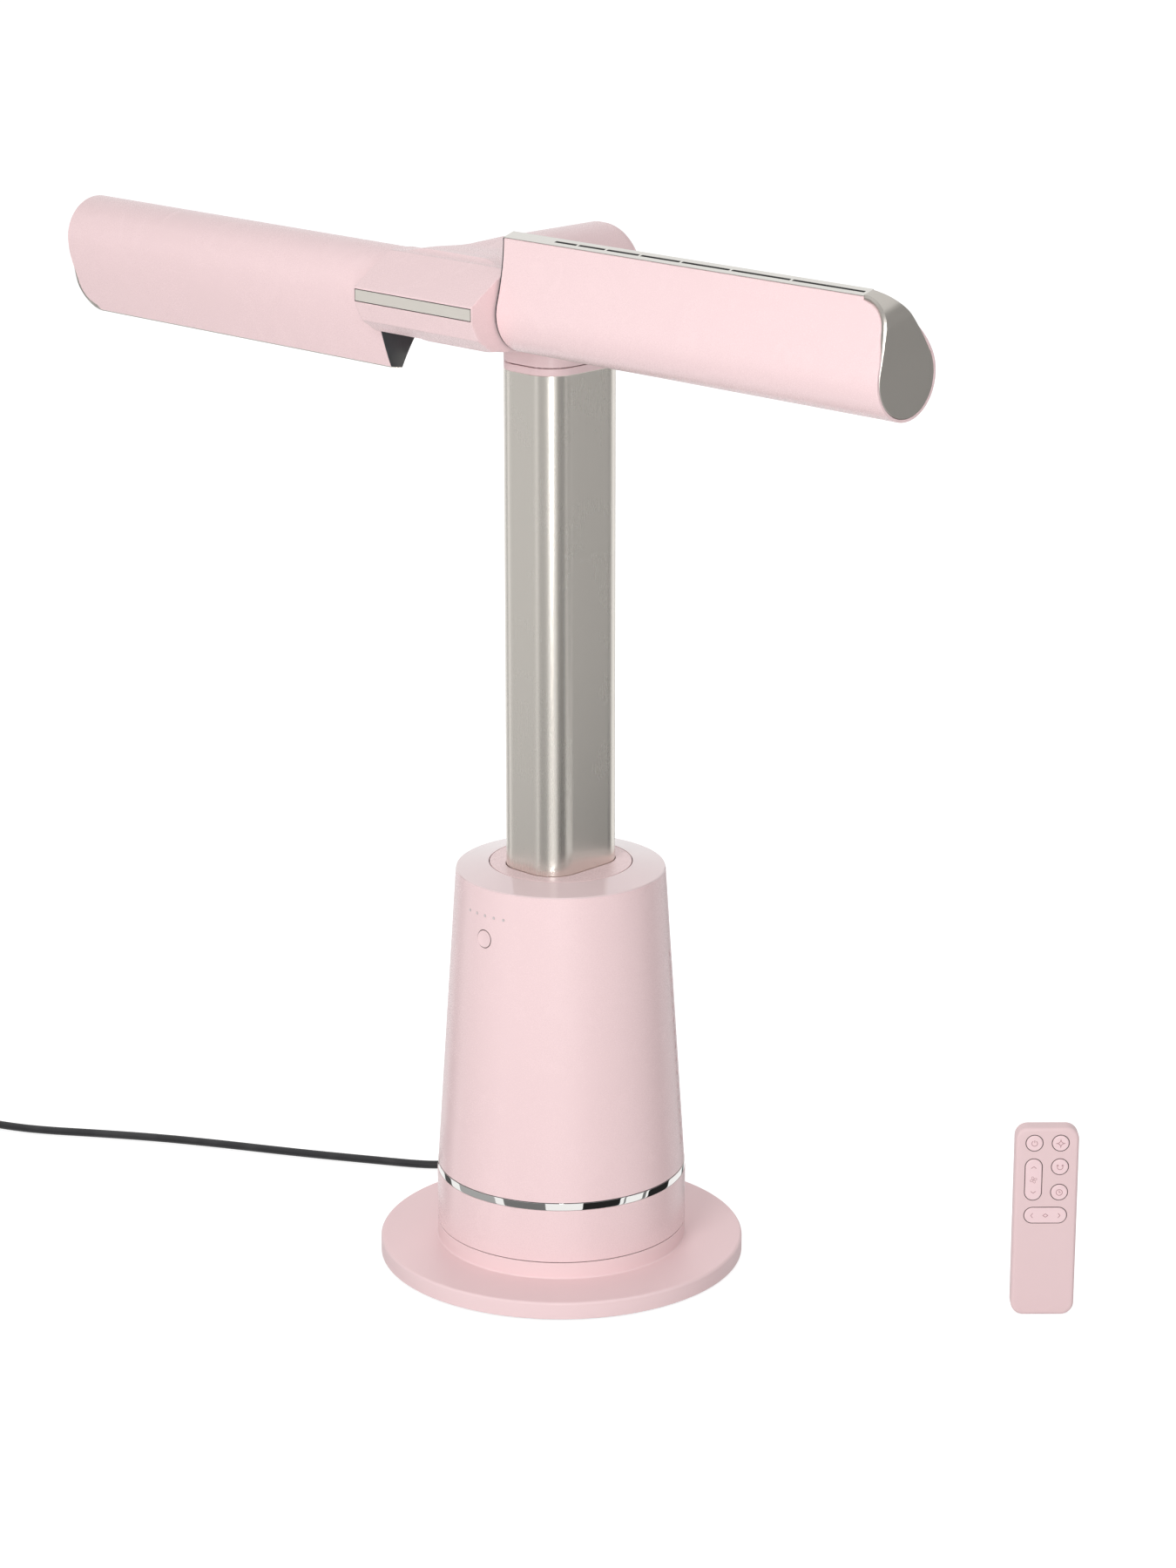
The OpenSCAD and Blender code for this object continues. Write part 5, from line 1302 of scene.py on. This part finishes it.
def ribbon(points, width, closed=False):
    """A flat line of that width along a path, as one closed outline or as an outline and a hole."""
    left, right = offset(points, width / 2, closed), offset(points, -width / 2, closed)
    low, high = -KEY_PROUD - 0.05, -KEY_PROUD + 0.1
    if closed:
        outer, inner = (left, right) if abs(area(left)) > abs(area(right)) else (right, left)
        return pierced([(outer, low), (outer, high)], [[(inner, low), (inner, high)]], toward_front)
    outline = list(left) + list(reversed(right))
    return pierced([(outline, low), (outline, high)], [], toward_front)


def area(loop):
    return sum(x0 * y1 - x1 * y0 for (x0, y0), (x1, y1) in zip(loop, loop[1:] + loop[:1])) / 2


def arc(radius, start, end, steps=24):
    return [(radius * cos(radians(start + (end - start) * i / steps)),
             radius * sin(radians(start + (end - start) * i / steps))) for i in range(steps + 1)]


def chevron(x, z, way_x, way_z, size=1.9):
    """Two strokes that point along (way_x, way_z)."""
    side_x, side_z = -way_z, way_x
    return [(x + side_x * size - way_x * size * 0.8, z + side_z * size - way_z * size * 0.8), (x, z),
            (x - side_x * size - way_x * size * 0.8, z - side_z * size - way_z * size * 0.8)]


def sparkle(reach, waist, steps=6):
    """A star of four points with hollow sides."""
    made = []
    for quarter in range(4):
        a0, a1 = radians(90 * quarter), radians(90 * quarter + 90)
        tip, following = Vector((cos(a0), sin(a0))) * reach, Vector((cos(a1), sin(a1))) * reach
        pull = Vector((cos((a0 + a1) / 2), sin((a0 + a1) / 2))) * waist
        made += [tuple(bend(tip, pull, following, k / steps)) for k in range(steps)]
    return made


def fan_blades(reach=2.3):
    """Four leaf-shaped loops round a centre."""
    leaves = []
    for quarter in range(4):
        turn = radians(90 * quarter + 20)
        leaf = [(0.45 + reach * 0.5 * (1 + cos(a)) - 0.1, 0.62 * sin(a) + 0.25 * sin(a / 2))
                for a in np.linspace(-pi, pi, 17)[:-1]]
        leaves.append([(x * cos(turn) - z * sin(turn), x * sin(turn) + z * cos(turn)) for x, z in leaf])
    return leaves


STROKE = 0.42
arrow_tips = [[(-2.75, 0.95), (-1.75, 1.75), (-1.15, 0.75)], [(2.75, 0.95), (1.75, 1.75), (1.15, 0.75)]]
ICONS = {
    "power_key": [(arc(2.1, 122, 418), False), ([(0, 0.5), (0, 2.5)], False)],
    "boost_key": [(sparkle(3.3, 0.15), True)],
    "swing_key": [(arc(2.05, 140, 400), False)] + [(tip, False) for tip in arrow_tips],
    "timer_key": [(arc(2.3, 0, 345, 23), True), ([(0, 1.5), (0, 0), (1.1, 0)], False)],
    "speed_key": [(chevron(0, 10.6, 0, 1), False), (chevron(0, -10.6, 0, -1), False)] + [(leaf,
        True) for leaf in fan_blades()],
    "twist_key": [(chevron(-10.9, 0, -1, 0), False), (chevron(10.9, 0, 1, 0), False),
                  ([(-1.9, 0), (0, 1.35), (1.9, 0), (0, -1.35)], True)]}
for node, strokes in ICONS.items():
    cx, share = KEY_PLACES[node]
    verts, faces = [], []
    for points, closed in strokes:
        v, f = ribbon([(x + cx, z + REMOTE_H * share) for x, z in points],
                      STROKE * (0.6 if closed and len(points) == 16 else 1), closed)
        add_shape(verts, faces, v, f)
    make(node + "_symbol", verts, faces, KEYS[node][1], icon_rose, turn=place_remote)

# ------------------------------------------------ finishes of the pieces that keep their CAD shape

CARRIED_OVER = {
    soft_rubber: ["rubber_feet"],
    plain_steel: ["base_screws", "pivot_sleeve", "remote_battery", "swing_motor"],
    cast_grey: ["base_weight"],
    plain_white: ["turntable_bearing", "swing_ring_gear", "swing_pinion", "arm_bushes", "pole_foot_bush",
                  "pole_bush"],
    plain_dark: ["base_bottom_plate", "fan_motor", "inlet_ring", "impeller", "diffuser", "air_duct",
                 "intake_filter"],
    lens_white: ["indicator_lenses"],
    board_green: ["control_board", "power_board", "display_board", "remote_board"]}
for material, names in CARRIED_OVER.items():
    for name in names:
        node = frame["nodes"][name]
        node.data.materials.clear()
        node.data.materials.append(material)

# ---------------------------------------------------------------- floor, backdrop and soft studio light

bpy.context.scene.view_settings.view_transform = "Standard"


def studio_white(name, spread_colour, strength, mirror):
    """Pale matt surface that reads white to the camera and in reflections, and still takes a shadow."""
    material = bpy.data.materials.new(name)
    material.use_nodes = True
    n = Nodes(material.node_tree)
    material.node_tree.nodes.remove(material.node_tree.nodes["Principled BSDF"])
    path = n.add("ShaderNodeLightPath").outputs
    seen = n.math("MAXIMUM", n.math("MAXIMUM", path["Is Camera Ray"], path["Is Glossy Ray"]),
                  path["Is Transmission Ray"])
    matt = n.add("ShaderNodeBsdfDiffuse", {"Color": n.mix(seen, (*spread_colour[0], 1), (*spread_colour[1],
        1))})
    glow = n.add("ShaderNodeEmission", {"Color": (1, 1, 1, 1), "Strength": n.math("MULTIPLY", seen,
        strength)})
    both = n.add("ShaderNodeAddShader", {0: matt.outputs[0], 1: glow.outputs[0]})
    sheen = n.add("ShaderNodeBsdfGlossy", {"Color": (1, 1, 1, 1), "Roughness": 0.16})
    share = n.math("MULTIPLY", path["Is Camera Ray"], mirror)
    final = n.add("ShaderNodeMixShader", {0: share, 1: both.outputs[0], 2: sheen.outputs[0]})
    material.node_tree.links.new(final.outputs[0],
                                 material.node_tree.nodes["Material Output"].inputs["Surface"])
    return material


FLOOR_HALF = 9.0
floor_mesh = bpy.data.meshes.new("studio_floor")
floor_mesh.from_pydata([(-FLOOR_HALF, -FLOOR_HALF, 0), (FLOOR_HALF, -FLOOR_HALF, 0), (FLOOR_HALF, FLOOR_HALF,
    0), (-FLOOR_HALF, FLOOR_HALF, 0)],
                       [], [(0, 1, 2, 3)])
floor_mesh.materials.append(studio_white("white_studio_floor", ((0.7, 0.7, 0.7), (0.42, 0.42, 0.42)), 0.85,
                                         0.08))
floor = bpy.data.objects.new("studio_floor", floor_mesh)
bpy.context.scene.collection.objects.link(floor)
floor.visible_glossy = False

world = bpy.data.worlds.new("studio_surround")
world.use_nodes = True
bpy.context.scene.world = world
w = Nodes(world.node_tree)
path = w.add("ShaderNodeLightPath").outputs
seen = w.math("MAXIMUM", w.math("MAXIMUM", path["Is Camera Ray"], path["Is Glossy Ray"]),
              path["Is Transmission Ray"])
level = w.math("ADD", w.math("MULTIPLY", seen, 1.0 - 0.5), 0.5)
world.node_tree.links.new(level, world.node_tree.nodes["Background"].inputs["Strength"])
world.node_tree.nodes["Background"].inputs["Color"].default_value = (1, 1, 1, 1)

AIM = Vector((0, 0, 0.42))


def around(azimuth, distance, height):
    """A place at that azimuth, counted from the front (-Y) towards +X."""
    a = radians(azimuth)
    return Vector((distance * sin(a), -distance * cos(a), height))


def soft_box(name, azimuth, distance, height, width, tall, power, seen=True):
    lamp = bpy.data.lights.new(name, "AREA")
    lamp.shape, lamp.size, lamp.size_y, lamp.energy = "RECTANGLE", width, tall, power
    holder = bpy.data.objects.new(name, lamp)
    bpy.context.scene.collection.objects.link(holder)
    holder.location = around(azimuth, distance, height)
    holder.rotation_euler = (AIM - holder.location).to_track_quat("-Z", "Y").to_euler()
    holder.visible_glossy = seen
    holder.visible_camera = False
    return holder


def card(name, azimuth, distance, width, low, high, grey):
    """An upright card that only reflections see."""
    mesh = bpy.data.meshes.new(name)
    mesh.from_pydata([(-width / 2, 0, low), (width / 2, 0, low), (width / 2, 0, high), (-width / 2, 0, high)],
                     [], [(0, 1, 2, 3)])
    material = bpy.data.materials.new(name)
    material.use_nodes = True
    n = Nodes(material.node_tree)
    material.node_tree.nodes.remove(material.node_tree.nodes["Principled BSDF"])
    glow = n.add("ShaderNodeEmission", {"Color": (grey, grey, grey, 1), "Strength": 1.0})
    material.node_tree.links.new(glow.outputs[0],
                                 material.node_tree.nodes["Material Output"].inputs["Surface"])
    mesh.materials.append(material)
    piece = bpy.data.objects.new(name, mesh)
    bpy.context.scene.collection.objects.link(piece)
    piece.location = around(azimuth, distance, 0)
    piece.rotation_euler = (0, 0, radians(azimuth))
    piece.visible_camera = piece.visible_diffuse = piece.visible_shadow = piece.visible_transmission = False
    return piece


soft_box("front_key", 20, 3.2, 1.95, 1.3, 1.9, 53, seen=False)
soft_box("tall_strip", 44.5, 3.4, 0.9, 0.22, 2.2, 26)
soft_box("rear_fill", -140, 3.2, 2.2, 1.8, 1.4, 30, seen=False)

CARD_DISTANCE, CARD_LOW, CARD_SPLIT, CARD_HIGH = 3.8, -3.2, -0.85, 3.4
# name, first and last azimuth, grey of the lower half, which the trim ring sees, and of the upper half,
# which the pole and the arms see
CARDS = [("far_left_card", -94, -79, 0.10, 0.40), ("left_card", -64, -19, 0.42, 0.62), ("front_card", -10, 30,
    0.19, 0.50),
         ("centre_card", 31, 63, 1.0, 0.78), ("right_card", 64, 100, 0.02, 0.30), ("right_thin_line", 104,
             106, 0.25, 0.36),
         ("right_wide_card", 107, 124, 1.0, 0.36), ("right_second_line", 125, 129, 0.2, 0.36),
         ("rear_card", 132, 162, 0.02, 0.34), ("rear_edge_card", 196, 205, 0.15, 0.5)]
for card_name, start, stop, lower_grey, upper_grey in CARDS:
    card_width = 2 * CARD_DISTANCE * tan(radians(stop - start) / 2)
    for half, low_edge, high_edge, grey in (("lower", CARD_LOW, CARD_SPLIT, lower_grey), ("upper", CARD_SPLIT,
            CARD_HIGH, upper_grey)):
        card(card_name + "_" + half, (start + stop) / 2, CARD_DISTANCE, card_width, low_edge, high_edge, grey)
